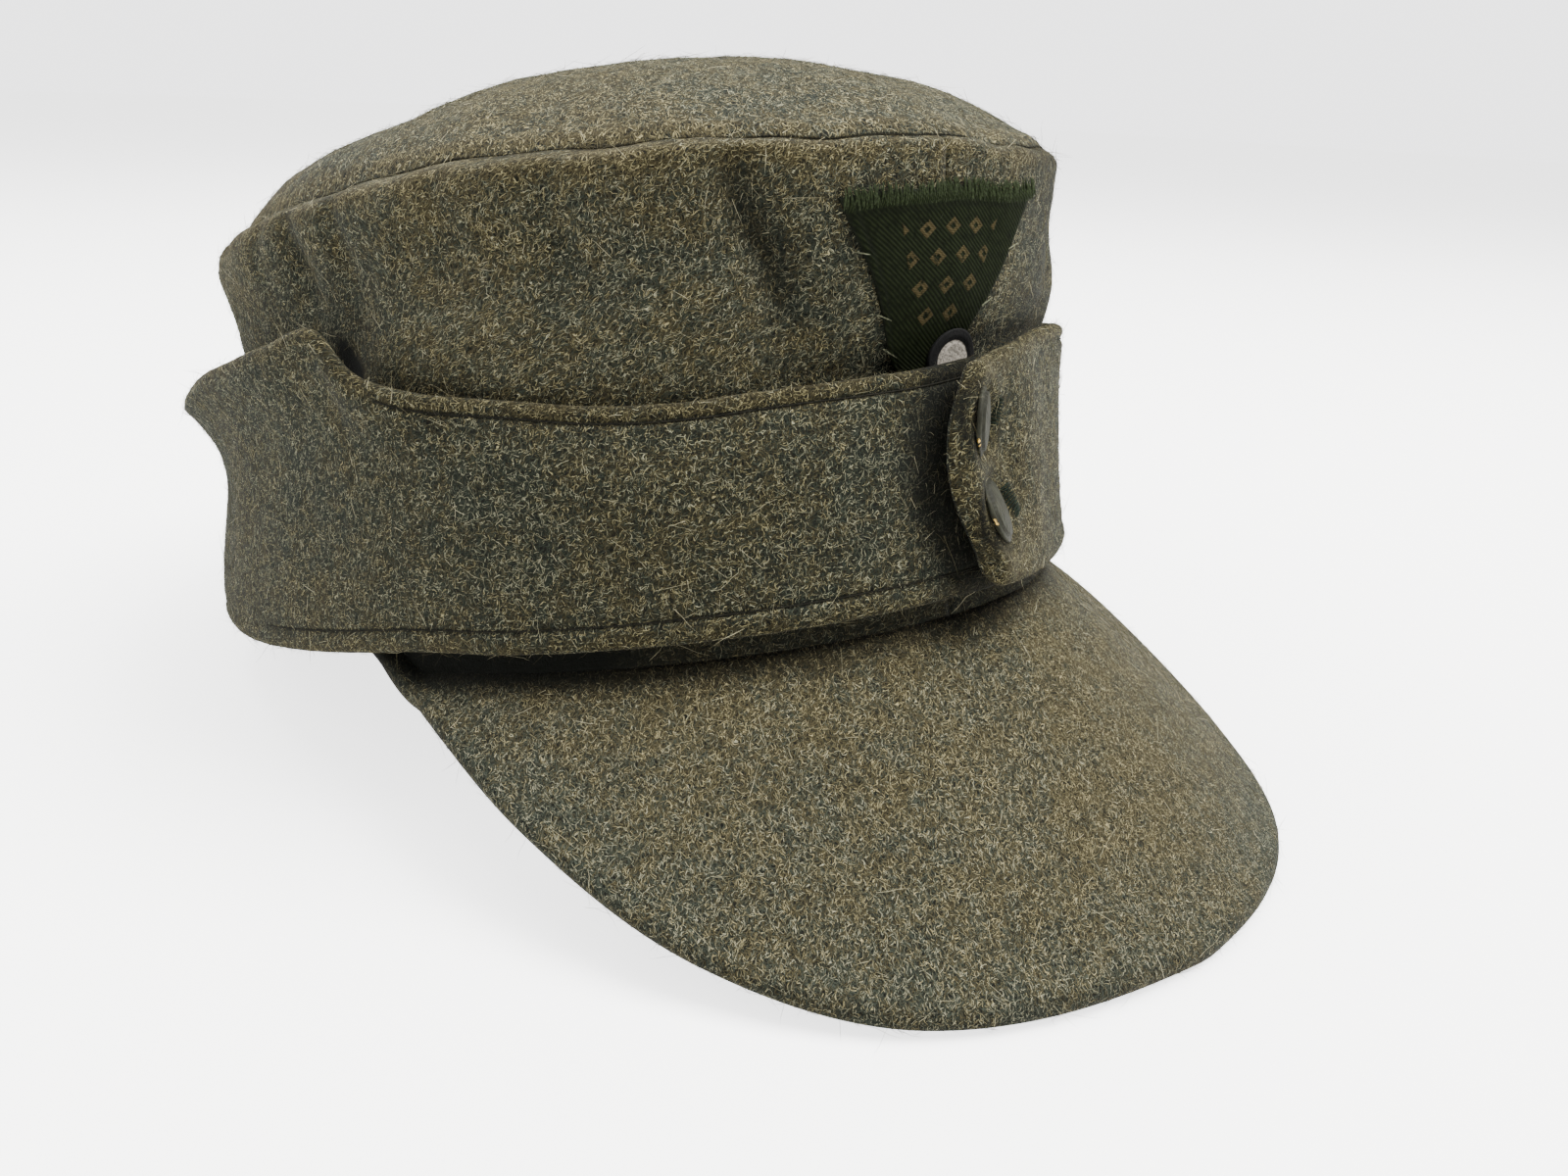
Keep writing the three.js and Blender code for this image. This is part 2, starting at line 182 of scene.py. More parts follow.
def curve_through(rows: Sequence[tuple], column: str, at: Array) -> Array:
    """Reads a smooth curve through one column of a table.

    Args:
        rows: the table, in rising order of its first column.
        column: the column to read.
        at: where to read it, a value of the first column.

    Returns:
        The column's value at each place.
    """
    xs = np.array([row[0] for row in rows], float)
    ys = np.array([getattr(row, column) for row in rows], float)
    at = np.clip(at, xs[0], xs[-1])
    low = np.clip(np.searchsorted(xs, at, side="right") - 1, 0, len(xs) - 2)
    slopes = np.zeros_like(ys)
    slopes[1:-1] = (ys[2:] - ys[:-2]) / (xs[2:] - xs[:-2])
    slopes[0] = (ys[1] - ys[0]) / (xs[1] - xs[0])
    slopes[-1] = (ys[-1] - ys[-2]) / (xs[-1] - xs[-2])
    span = xs[low + 1] - xs[low]
    part = (at - xs[low]) / span
    square, cube = part**2, part**3
    return (
        (2 * cube - 3 * square + 1) * ys[low]
        + (cube - 2 * square + part) * span * slopes[low]
        + (3 * square - 2 * cube) * ys[low + 1]
        + (cube - square) * span * slopes[low + 1]
    )


def table(kind: Callable[..., Any], *rows: tuple[float, ...]) -> tuple[Any, ...]:
    """Returns rows of numbers as a table of one kind of row."""
    return tuple(kind(*row) for row in rows)


def cloth_noise(points: Array, scale: float, seed: float) -> Array:
    """Returns smooth noise from about -1 to 1 at level points given in millimetres."""
    flat = points.reshape(-1, 3) * scale
    values = [noise.noise(Vector((x, y, z + seed))) for x, y, z in flat]
    return np.array(values).reshape(points.shape[:-1])


@dataclass(frozen=True)
class CapForm:
    """The cap's shared shape, close to that of its solids, level and in millimetres."""

    rest_tilt: float = 13.7
    rest_press: float = 1.5
    placed: Point = (0.0, 20.108, 23.842)
    oval_power: float = 2.12
    narrowing: float = 0.067
    rim_half_length: float = 107.0
    rim_half_width: float = 91.1
    press_depth: float = 5.2
    press_fade: Pair = (10.0, 60.0)
    seam_height: float = 79.7
    seam_sway: float = 3.0
    dome_rise: float = 24.5
    dome_fullness: float = 3.6
    summit_back: float = 8.0
    sections: tuple[Section, ...] = table(
        Section,
        (-6, 101.6, 85.8, 0.2), (-3, 101.9, 86.1, 0.2), (22, 100.6, 83.4, 0.3),
        (36, 99.7, 80.2, 0.9), (44, 99.5, 78.9, 1.8), (55, 101.2, 79.0, 5.5),
        (66, 101.4, 80.6, 7.4), (73, 101.6, 82.4, 8.4), (78, 100.6, 80.2, 9.4),
        (79.7, 99.1, 76.2, 10.0),
    )
    folds: tuple[Fold, ...] = table(
        Fold,
        (22, 32, 42, 2.6, 5.0), (47, 52, 50, 1.4, 4.5), (76, 78, 56, 1.4, 4.0),
        (84, 87, 54, 1.8, 4.5), (128, 122, 52, 1.5, 6.0), (-146, -140, 52, 1.6, 6.0),
        (-88, -84, 50, 1.8, 5.0), (-55, -59, 48, 1.5, 5.0), (-27, -33, 46, 1.8, 5.0),
    )
    creases: tuple[Fold, ...] = table(
        Fold,
        (23, 31.2, 50, 2.3, 2.5), (36, 38.5, 62, 0.5, 2.0), (48.5, 51.2, 58, 0.6, 1.7),
        (62, 63.5, 64, 0.6, 1.6), (77, 78.2, 64, 1.1, 1.4), (85, 86.9, 62, 1.3, 1.6),
        (93, 92, 66, 0.9, 1.4), (124, 121, 62, 0.6, 1.8), (-141, -139, 62, 0.6, 1.8),
        (-86, -84.5, 62, 0.8, 1.5), (-57, -59.5, 62, 0.6, 1.6), (-31, -33.5, 60, 0.8, 1.6),
    )
    edge: tuple[EdgePoint, ...] = table(
        EdgePoint,
        (0, 42.3, 0, 0), (10, 41.4, 0, 0), (22, 40.9, 0, 0), (34, 40.2, 0, 0),
        (44, 41.2, 0, 0), (52, 43.4, 0, 0.2), (60, 45.6, 0.2, 0.8), (65, 47.6, 0.6, 1.6),
        (68, 50.0, 1.0, 2.2), (70, 53.5, 1.2, 2.6), (72, 58.4, 1.5, 3.0), (74, 59.2, 1.7, 3.0),
        (80, 57.4, 2.6, 2.4), (88, 56.3, 3.6, 1.6), (97, 55.4, 4.3, 1.1),
        (108, 52.7, 4.7, 0.9), (130, 51.4, 4.6, 0.9), (155, 50.5, 3.6, 1.0),
        (180, 51.5, 3.0, 1.2),
    )
    over_end: tuple[EndPoint, ...] = table(
        EndPoint,
        (0, 2.6), (4, 4.1), (10, 5.5), (17, 7.2), (24, 7.8), (31, 7.1), (37, 5.2), (43, 2.8),
    )
    lap_span: Pair = (-17.0, 9.0)
    lap_stand: float = 7.2
    lap_lift: float = 1.5
    lap_degree: float = 1.92
    presses: tuple[ButtonPress, ...] = table(
        ButtonPress, (2.8, 30.6, 29.0, -7.0, 1.5), (1.6, 14.4, 24.0, 17.0, 1.0),
    )
    press_reach: float = 9.5
    press_seat: float = 6.0
    pucker: Swell = Swell(8.2, 1.4, 0.35)
    press_onset: Pair = (0.4, 2.6)
    left_lift: float = 4.0
    left_lift_span: Plateau = Plateau(-6, 20, 36, 66)
    lap_corner_drop: float = 0.9
    lap_corner: Pair = (-12, 3)
    right_drop: float = 0.7
    right_drop_span: Pair = (60, 68)
    right_dip: Swell = Swell(5, 8, 0.3)
    foot_swells: tuple[Swell, ...] = (Swell(67, 9, 0.9), Swell(97, 15, -1.1))
    foot_turn: float = 0.7
    foot_turn_height: Pair = (0.0, 4.0)
    waist_end: float = 0.92
    flare_level: Pair = (0.7, 1.0)
    lean: float = 2.0
    lean_span: Plateau = Plateau(6, 24, 54, 65)
    ribs: tuple[Rib, ...] = table(
        Rib,
        (0, 71.6, 71.6, 50.1, 0), (22.4, 65.0, 68.6, 50.4, 27.4),
        (37.3, 50.4, 58.6, 49.7, 44.2), (52.2, 29.0, 39.9, 45.5, 58.9),
        (63.3, 12.9, 22.6, 38.0, 68.0), (72.5, 2.2, 8.0, 28.0, 74.0),
        (76.5, 0.5, 2.0, 22.0, 78.0),
    )
    root_inset: float = 5.0
    root_height: float = -3.4
    root_rise: float = 8.0
    root_rise_span: Pair = (68, 76.5)
    seam_raised: float = 1.4
    seam_raised_span: Plateau = Plateau(-12, 6, 64, 92)
    bulge: Pair = (1.0, 6.8)
    bulge_span: Plateau = Plateau(14, 34, 68, 80)
    bulge_height: Plateau = Plateau(30, 40, 46, 66)
    fold_onset: float = 12.0
    fold_fade: Pair = (69.0, 78.5)
    crease_onset: float = 9.0
    crease_fade: Pair = (76.0, 79.5)
    temple: Swell = Swell(92, 28, 1.0)
    shoulder: Swell = Swell(0.07, 0.07, 1.9)
    shoulder_onset: Pair = (0, 0.04)
    dip: Swell = Swell(0.31, 0.1, -2.0)

    def power(self, value: Array) -> Array:
        """Returns a sine or cosine drawn out as the ovals' squared ends need."""
        return np.sign(value) * np.abs(value) ** (2.0 / self.oval_power)

    def oval(self, half_length: Array, half_width: Array, forward: Array, angle: Array,
             height: Array) -> Array:
        """Places points on an oval round the head.

        Args:
            half_length: half its length, front to back.
            half_width: half its width, ear to ear.
            forward: how far its middle lies forward.
            angle: where round the head.
            height: how high above the rim.

        Returns:
            The points, with x, y and z along the last axis.
        """
        turn = np.radians(angle)
        cos, sin = np.cos(turn), np.sin(turn)
        reach = np.where(cos > 0, np.maximum(0.0, -np.sin(2 * turn)) ** 2, 0.0)
        press = self.press_depth * reach * (1 - smooth(height, *self.press_fade))
        ahead = forward + half_length * self.power(cos) - press * cos
        aside = half_width * self.power(sin) * (1 - self.narrowing * cos) - press * sin
        return np.stack([-aside, -ahead, height + 0 * ahead], axis=-1)

    def seam_at(self, angle: Array) -> Array:
        """Returns the height of the top panel's seam, which is sewn a little unevenly."""
        turn = np.radians(angle)
        sewn = 0.22 * np.sin(13 * turn) + 0.16 * np.sin(29 * turn + 1.0)
        raised = self.seam_raised * self.seam_raised_span.at(angle)
        return self.seam_height - self.seam_sway * np.cos(2 * turn) + sewn + raised

    def overhang(self, angle: Array, height: Array) -> Array:
        """Returns where the crown side bulges over the flaps' upper edge, from 0 to 1."""
        return self.bulge_span.at(np.abs(angle)) * self.bulge_height.at(height)

    def fold_depth(self, angle: Array, height: Array, folds: Sequence[Fold], onset: float,
                   fade: Pair) -> Array:
        """Returns how far folds press the crown side in.

        Args:
            angle: where round the head.
            height: the even height.
            folds: the folds to add up.
            onset: how far above its low end a fold is full.
            fade: the heights between which the folds die out below the seam.
        """
        depth = 0.0 * (angle + height)
        for fold in folds:
            climb = np.clip((height - fold.low) / (self.seam_height - fold.low), 0, 1)
            middle = fold.low_angle + (fold.top_angle - fold.low_angle) * climb
            strength = smooth(height, fold.low - onset / 2, fold.low + onset)
            depth = depth + fold.depth * strength * bump(angle, middle, fold.width)
        return depth * (1 - smooth(height, *fade))

    def crown(self, angle: Array, height: Array, outward: Array = 0.0) -> Array:
        """Returns the crown side's outer face at even heights, moved outward a little."""
        columns = [
            curve_through(self.sections, name, height)
            for name in ("half_length", "half_width", "forward")
        ]
        folded = self.fold_depth(angle, height, self.folds, self.fold_onset, self.fold_fade)
        creased = self.fold_depth(angle, height, self.creases, self.crease_onset,
                                  self.crease_fade)
        out = outward - folded - creased
        stretch = np.where(height > 0, self.seam_at(angle) / self.seam_height, 1.0)
        over = self.overhang(angle, height)
        half_length = columns[0] + out + self.bulge[0] * over
        half_width = columns[1] + out + self.bulge[1] * over
        return self.oval(half_length, half_width, columns[2], angle, height * stretch)

    def dome(self, angle: Array, inward: Array, lift: Array = 0.0) -> Array:
        """Returns the top panel's outer face, from its seam at 0 to its middle at 1."""
        out = 1.0 - inward
        top = self.sections[-1]
        seam = self.oval(top.half_length, top.half_width, top.forward, angle, self.seam_height)
        middle_y = -top.forward + self.summit_back
        sway = (self.seam_at(angle) - self.seam_height) * out**2
        height = self.seam_height + sway + self.dome_rise * (1 - out**self.dome_fullness) + lift
        shoulder = smooth(inward, *self.shoulder_onset) * self.shoulder.at(inward)
        height = height + self.temple.at(np.abs(angle)) * (shoulder + self.dip.at(inward))
        return np.stack(
            [seam[..., 0] * out, middle_y + (seam[..., 1] - middle_y) * out, height], axis=-1
        )

    def flap_height(self, side: Side, angle: Array) -> Array:
        """Returns the height of a flap's upper edge."""
        away = side.value * angle
        height = curve_through(self.edge, "height", away)
        if side is Side.LEFT:
            height = height + self.left_lift * self.left_lift_span.at(away)
            return height - self.lap_corner_drop * smooth(angle, *self.lap_corner)
        height = height - self.right_drop * (1 - smooth(away, *self.right_drop_span))
        return height - self.right_dip.at(angle)

    def from_button(self, press: ButtonPress, angle: Array,
                    height: Array) -> tuple[Array, Array, Array]:
        """Returns how far aside of a button, above it and away from it points lie."""
        aside, up = (angle - press.angle) * self.lap_degree, height - press.height
        return aside, up, np.hypot(aside, up)

    def lap_relief(self, angle: Array, height: Array) -> Array:
        """Returns how far the lapped cloth stands out round the buttons."""
        out = 0.0 * (angle + height)
        for press in self.presses:
            aside, up, off = self.from_button(press, angle, height)
            slope = math.tan(math.radians(press.aside)) * aside
            slope = slope - math.tan(math.radians(press.up)) * up
            out = out + slope * bump(off, 0, self.press_reach)
            out = out - press.sunk * np.exp(-((off / self.press_seat) ** 4))
            out = out + self.pucker.at(off)
        return out

    def flap(self, side: Side, angle: Array, level: Array, outward: Array = 0.0) -> Array:
        """Returns a flap's outer face.

        Args:
            side: which flap.
            angle: where round the head.
            level: 0 at the lower edge and 1 at the upper one.
            outward: how far to move the face outward.
        """
        away = side.value * angle
        waist = curve_through(self.edge, "waist", away)
        flare = curve_through(self.edge, "flare", away)
        foot = sum(swell.at(away) for swell in self.foot_swells)
        out = outward - waist * np.sin(np.pi * np.clip(level / self.waist_end, 0, 1) ** 2)
        out = out + flare * smooth(level, *self.flare_level)
        if side is Side.RIGHT:
            out = out - self.lean * self.lean_span.at(away) * smooth(level, *self.flare_level)
        else:
            lapped = smooth(angle, *self.lap_span)
            out = out + self.lap_stand * lapped
            foot = foot + self.lap_lift * lapped
        height = foot + (self.flap_height(side, angle) - foot) * level
        if side is Side.LEFT:
            end = curve_through(self.over_end, "angle", height)
            out = out + self.lap_relief(angle, height) * smooth(end - angle, *self.press_onset)
        out = out - self.foot_turn * (1 - smooth(height - foot, *self.foot_turn_height))
        return self.oval(
            self.rim_half_length + out, self.rim_half_width + out, 0.0, angle, height
        )

    def reach(self, angle: Array) -> Array:
        """Returns how far the peak reaches from the band."""
        left = curve_through(self.ribs, "reach_left", np.abs(angle))
        right = curve_through(self.ribs, "reach_right", np.abs(angle))
        return np.where(angle < 0, left, right)

    def heading(self, angle: Array) -> Array:
        """Returns the way the peak runs from the band, in radians."""
        return np.radians(
            np.sign(angle) * curve_through(self.ribs, "heading", np.abs(angle)))

    def peak(self, angle: Array, length: Array) -> Array:
        """Returns the peak's upper face at a length out from the band."""
        slope = np.radians(curve_through(self.ribs, "slope", np.abs(angle)))
        turn = self.heading(angle)
        root = self.oval(
            self.rim_half_length - self.root_inset, self.rim_half_width - self.root_inset, 0.0,
            angle, self.root_height + self.root_rise * smooth(np.abs(angle), *self.root_rise_span),
        )
        step = np.stack(
            [-np.cos(slope) * np.sin(turn), -np.cos(slope) * np.cos(turn), -np.sin(slope)],
            axis=-1,
        )
        return root + length[..., None] * step

    def angle_across(self, sideways: Array, height: Array) -> Array:
        """Returns the angle where the crown's face lies a distance to the wearer's right.

        It halves the span of angles across the front until the angle is exact.

        Args:
            sideways: the distance.
            height: the even height.
        """
        span, halvings = 60.0, 24
        low, high = np.full(np.shape(sideways), -span), np.full(np.shape(sideways), span)
        for _ in range(halvings):
            middle = (low + high) / 2
            short = -self.crown(middle, height)[..., 0] < sideways
            low, high = np.where(short, middle, low), np.where(short, high, middle)
        return (low + high) / 2

    def settle(self, points: Array) -> Array:
        """Lifts points that lie below the table up to it."""
        tilt = math.radians(self.rest_tilt)
        lowest = (points[..., 1] - self.rim_half_length) * math.tan(tilt)
        lowest = lowest + self.rest_press / math.cos(tilt)
        settled = points.copy()
        settled[..., 2] = np.maximum(points[..., 2], lowest)
        return settled

    def to_row(self, points: Array) -> Array:
        """Tips level points back as the cap stands, and returns them in metres."""
        tilt = math.radians(self.rest_tilt)
        cos, sin = math.cos(tilt), math.sin(tilt)
        x, y, z = points[..., 0], points[..., 1], points[..., 2]
        tipped = np.stack([x, y * cos + z * sin, z * cos - y * sin], axis=-1)
        return (tipped + np.array(self.placed)) * MM

    def turn_to_row(self, directions: Array) -> Array:
        """Tips level directions back as the cap stands."""
        return (self.to_row(directions) - self.to_row(np.zeros(3))) / MM


FORM = CapForm()


def grid_normals(points: Array, closed: bool = False) -> Array:
    """Returns unit outward normals of a grid whose rows rise and columns run right to left.

    Args:
        points: the grid, rows by columns by 3.
        closed: whether the last column meets the first.
    """
    wide = np.concatenate([points[:, -1:], points, points[:, :1]], axis=1) if closed else points
    across = np.gradient(wide, axis=1)
    across = across[:, 1:-1] if closed else across
    rising = np.gradient(points, axis=0)
    return unit(np.cross(across, rising))


def unit(vectors: Array) -> Array:
    """Returns vectors of length 1 that point the same way."""
    return vectors / np.maximum(np.linalg.norm(vectors, axis=-1, keepdims=True), 1e-9)


@dataclass
class ClothWall:
    """A closed wall of cloth behind an outer face, with rolled edges.

    Attributes:
        face: the outer face, rows by columns by 3, level and in millimetres.
        lay: where each point of the face lies on the flat cloth, rows by columns by 2.
        thickness: how thick the cloth is.
        closed: whether the last column meets the first.
        crowned: whether the top row closes in a point.
        roll_low, roll_high: how many points round each edge.
        round_first, round_last: how far from each end the wall thins to a round end.
        masks: named values on the outer face, 0 where there is nothing and about 1 where most.
        inner_step: how many of the face's rows each row of the inner face spans.
        inner_lay: how far off on the flat cloth the inner face's stretch lies.
    """

    face: Array
    lay: Array
    thickness: float
    closed: bool = False
    crowned: bool = False
    roll_low: int = 0
    roll_high: int = 0
    round_first: float = 0.0
    round_last: float = 0.0
    masks: dict[str, Array] = field(default_factory=dict)
    inner_step: int = 3
    inner_lay: float = 500.0

    def fullness(self) -> Array:
        """Returns each column's share of the full thickness, less near a round end."""
        thinnest = 0.004
        middle = self.face[self.face.shape[0] // 2]
        steps = np.linalg.norm(np.diff(middle, axis=0), axis=1)
        along = np.concatenate([[0.0], np.cumsum(steps)])
        share = np.ones(len(along))
        for size, off in ((self.round_first, along), (self.round_last, along[-1] - along)):
            if size > 0:
                near = np.clip(off / size, thinnest, 1.0)
                share = np.minimum(share, np.sqrt(1 - (1 - near) ** 2))
        return share

    def loops(self) -> tuple[Array, Array, Array, Array]:
        """Works out the wall's section at each column.

        Returns:
            The points, loop by column; the row of the face that each loop belongs to; how far
            past that row's edge it lies; and whether it lies on the inner face.
        """
        normals = grid_normals(self.face, self.closed)
        half = self.thickness / 2 * self.fullness()[None, :, None]
        core = self.face - normals * self.thickness / 2
        outer, inner = core + normals * half, core - normals * half
        rows = np.arange(len(self.face))
        behind = np.unique(np.append(rows[::self.inner_step], rows[-1]))[::-1]
        low, low_turns = self.roll(core, normals, half, 0, self.roll_low)
        high, high_turns = self.roll(core, normals, half, -1, self.roll_high)
        cut = len(low) // 2
        points = [*low[cut:], *outer, *high, *inner[behind], *low[:cut]]
        source = [0] * (len(low) - cut) + [*rows] + [rows[-1]] * len(high) + [*behind]
        past = [*low_turns[cut:], *(0 * rows), *high_turns, *(0 * behind), *low_turns[:cut]]
        inside = np.zeros(len(points), bool)
        first = len(low) - cut + len(rows) + len(high)
        inside[first:first + len(behind)] = True
        return (np.array(points), np.array(source + [0] * cut),
                np.array(past) * self.thickness / 2, inside)

    @staticmethod
    def roll(core: Array, normals: Array, half: Array, row: int,
             count: int) -> tuple[list[Array], list[float]]:
        """Carries the wall round one edge.

        Args:
            core: the middle of the wall.
            normals: its outward normals.
            half: half its thickness at each column.
            row: the edge's row, 0 or -1.
            count: how many points round the edge.

        Returns:
            The points in the loop's order, and how far round each one lies, in radians.
        """
        if not count:
            return [], []
        away = unit(core[-1] - core[-2] if row else core[0] - core[1])
        turns = np.linspace(0, np.pi, count + 2)[1:-1]
        if not row:
            turns = turns[::-1]
        points = [
            core[row] + half[0] * (np.cos(turn) * normals[row] + np.sin(turn) * away)
            for turn in turns
        ]
        return points, list(turns)

    def mesh(self, name: str) -> Piece:
        """Returns the wall as an object, with its masks and its lay as attributes."""
        points, source, past, inside = self.loops()
        count, columns = points.shape[:2]
        index = np.arange(count * columns).reshape(count, columns)
        faces: list[list[int]] = []
        seam = int(np.argmax(inside)) - 1 if self.crowned else -1
        for row in range(count):
            if row != seam:
                faces += band_faces(index[row], index[(row + 1) % count], self.closed)
        if not self.closed:
            faces += [list(index[:, 0]), list(index[::-1, -1])]
        flat = points.reshape(-1, 3)
        if self.crowned:
            tips = [flat[index[seam]].mean(axis=0), flat[index[seam + 1]].mean(axis=0)]
            faces += fan_faces(index[seam], len(flat))
            faces += [[b, a, tip] for a, b, tip in fan_faces(index[seam + 1], len(flat) + 1)]
            flat = np.concatenate([flat, np.array(tips)])
        made = new_object(name, FORM.to_row(FORM.settle(flat)), faces)
        tail = len(flat) - count * columns
        for mask, values in self.masks.items():
            spread = np.where(inside[:, None], 0.0, values[source])
            store(made, mask, np.append(spread.ravel(), np.full(tail, values[-1].mean())))
        store(made, "lay", np.concatenate([
            self.spread_lay(source, past, inside), np.zeros((tail, 3))]))
        return made

    def spread_lay(self, source: Array, past: Array, inside: Array) -> Array:
        """Returns where every point lies on the flat cloth, in metres, drawn on past edges."""
        lay = self.lay[source].astype(float)
        for edge, inner in ((0, 1), (-1, -2)):
            away = unit(self.lay[edge] - self.lay[inner])
            here = (past > 0) & (source == np.arange(len(self.lay))[edge])
            lay[here] += away[None] * past[here, None, None]
        lay[inside] += self.inner_lay
        flat = lay.reshape(-1, 2) * MM
        return np.concatenate([flat, np.zeros((len(flat), 1))], axis=1)


def lay_of(face: Array, start: float) -> Array:
    """Returns where a face lies on flat cloth: along its middle row, and up each column.

    Args:
        face: the face, rows by columns by 3.
        start: where on the cloth it begins, so that no two pieces share one stretch.
    """
    middle = face[len(face) // 2]
    along = np.cumsum(np.linalg.norm(np.diff(middle, axis=0, prepend=middle[:1]), axis=-1))
    up = np.cumsum(np.linalg.norm(np.diff(face, axis=0, prepend=face[:1]), axis=-1), axis=0)
    return np.stack([along[None, :] + start + 0 * up, up], axis=-1)


def new_object(name: str, points: Array, faces: Sequence[Sequence[int]]) -> Piece:
    """Makes a smooth closed mesh object whose faces point outward.

    Args:
        name: the object's name.
        points: its points in the row frame, in metres.
        faces: its faces, as point numbers.
    """
    mesh = bpy.data.meshes.new(name)
    mesh.from_pydata([tuple(map(float, p)) for p in points], [], [list(map(int, f)) for f in faces])
    work = bmesh.new()
    work.from_mesh(mesh)
    bmesh.ops.recalc_face_normals(work, faces=work.faces)
    work.to_mesh(mesh)
    work.free()
    mesh.shade_smooth()
    return add_object(name, mesh)


def add_object(name: str, data: Any) -> Piece:
    """Adds an object to the scene."""
    made = bpy.data.objects.new(name, data)
    bpy.context.scene.collection.objects.link(made)
    return made


def band_faces(lower: Array, upper: Array, closed: bool = True) -> list[list[int]]:
    """Returns the faces between two rows of point numbers."""
    corners = np.stack([lower, np.roll(lower, -1), np.roll(upper, -1), upper], axis=1)
    return (corners if closed else corners[:-1]).tolist()


def fan_faces(ring: Array, tip: int) -> list[list[int]]:
    """Returns the faces between a closed row of point numbers and one more point."""
    return [[*pair, tip] for pair in zip(ring, np.roll(ring, -1))]


def round_faces(rings: int, sides: int) -> list[list[int]]:
    """Returns the faces of a closed round body: its rings' points, then its two tips."""
    index = np.arange(rings * sides).reshape(rings, sides)
    faces = fan_faces(index[0], rings * sides) + fan_faces(index[-1], rings * sides + 1)
    for lower, upper in zip(index, index[1:]):
        faces += band_faces(lower, upper)
    return faces


def store(made: Piece, name: str, values: Array) -> None:
    """Stores one number or one vector for each point of an object's mesh."""
    kind, part = ("FLOAT_VECTOR", "vector") if np.ndim(values) > 1 else ("FLOAT", "value")
    layer = made.data.attributes.new(name, kind, "POINT")
    layer.data.foreach_set(part, np.asarray(values, dtype=np.float32).ravel())


def dress(made: Piece, material: Material, slot: str, *nodes: str) -> Piece:
    """Gives a piece its finish, and lets it ride and stand for its solids.

    Args:
        made: the piece.
        material: its finish.
        slot: the record's material slot.
        nodes: the solids it stands for.

    Returns:
        The piece.
    """
    made.data.materials.clear()
    made.data.materials.append(material)
    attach(made, BODY)
    if nodes:
        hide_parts(*nodes)
    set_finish(made, slot)
    LOG.info("%s: %d faces", made.name, len(made.data.polygons))
    return made


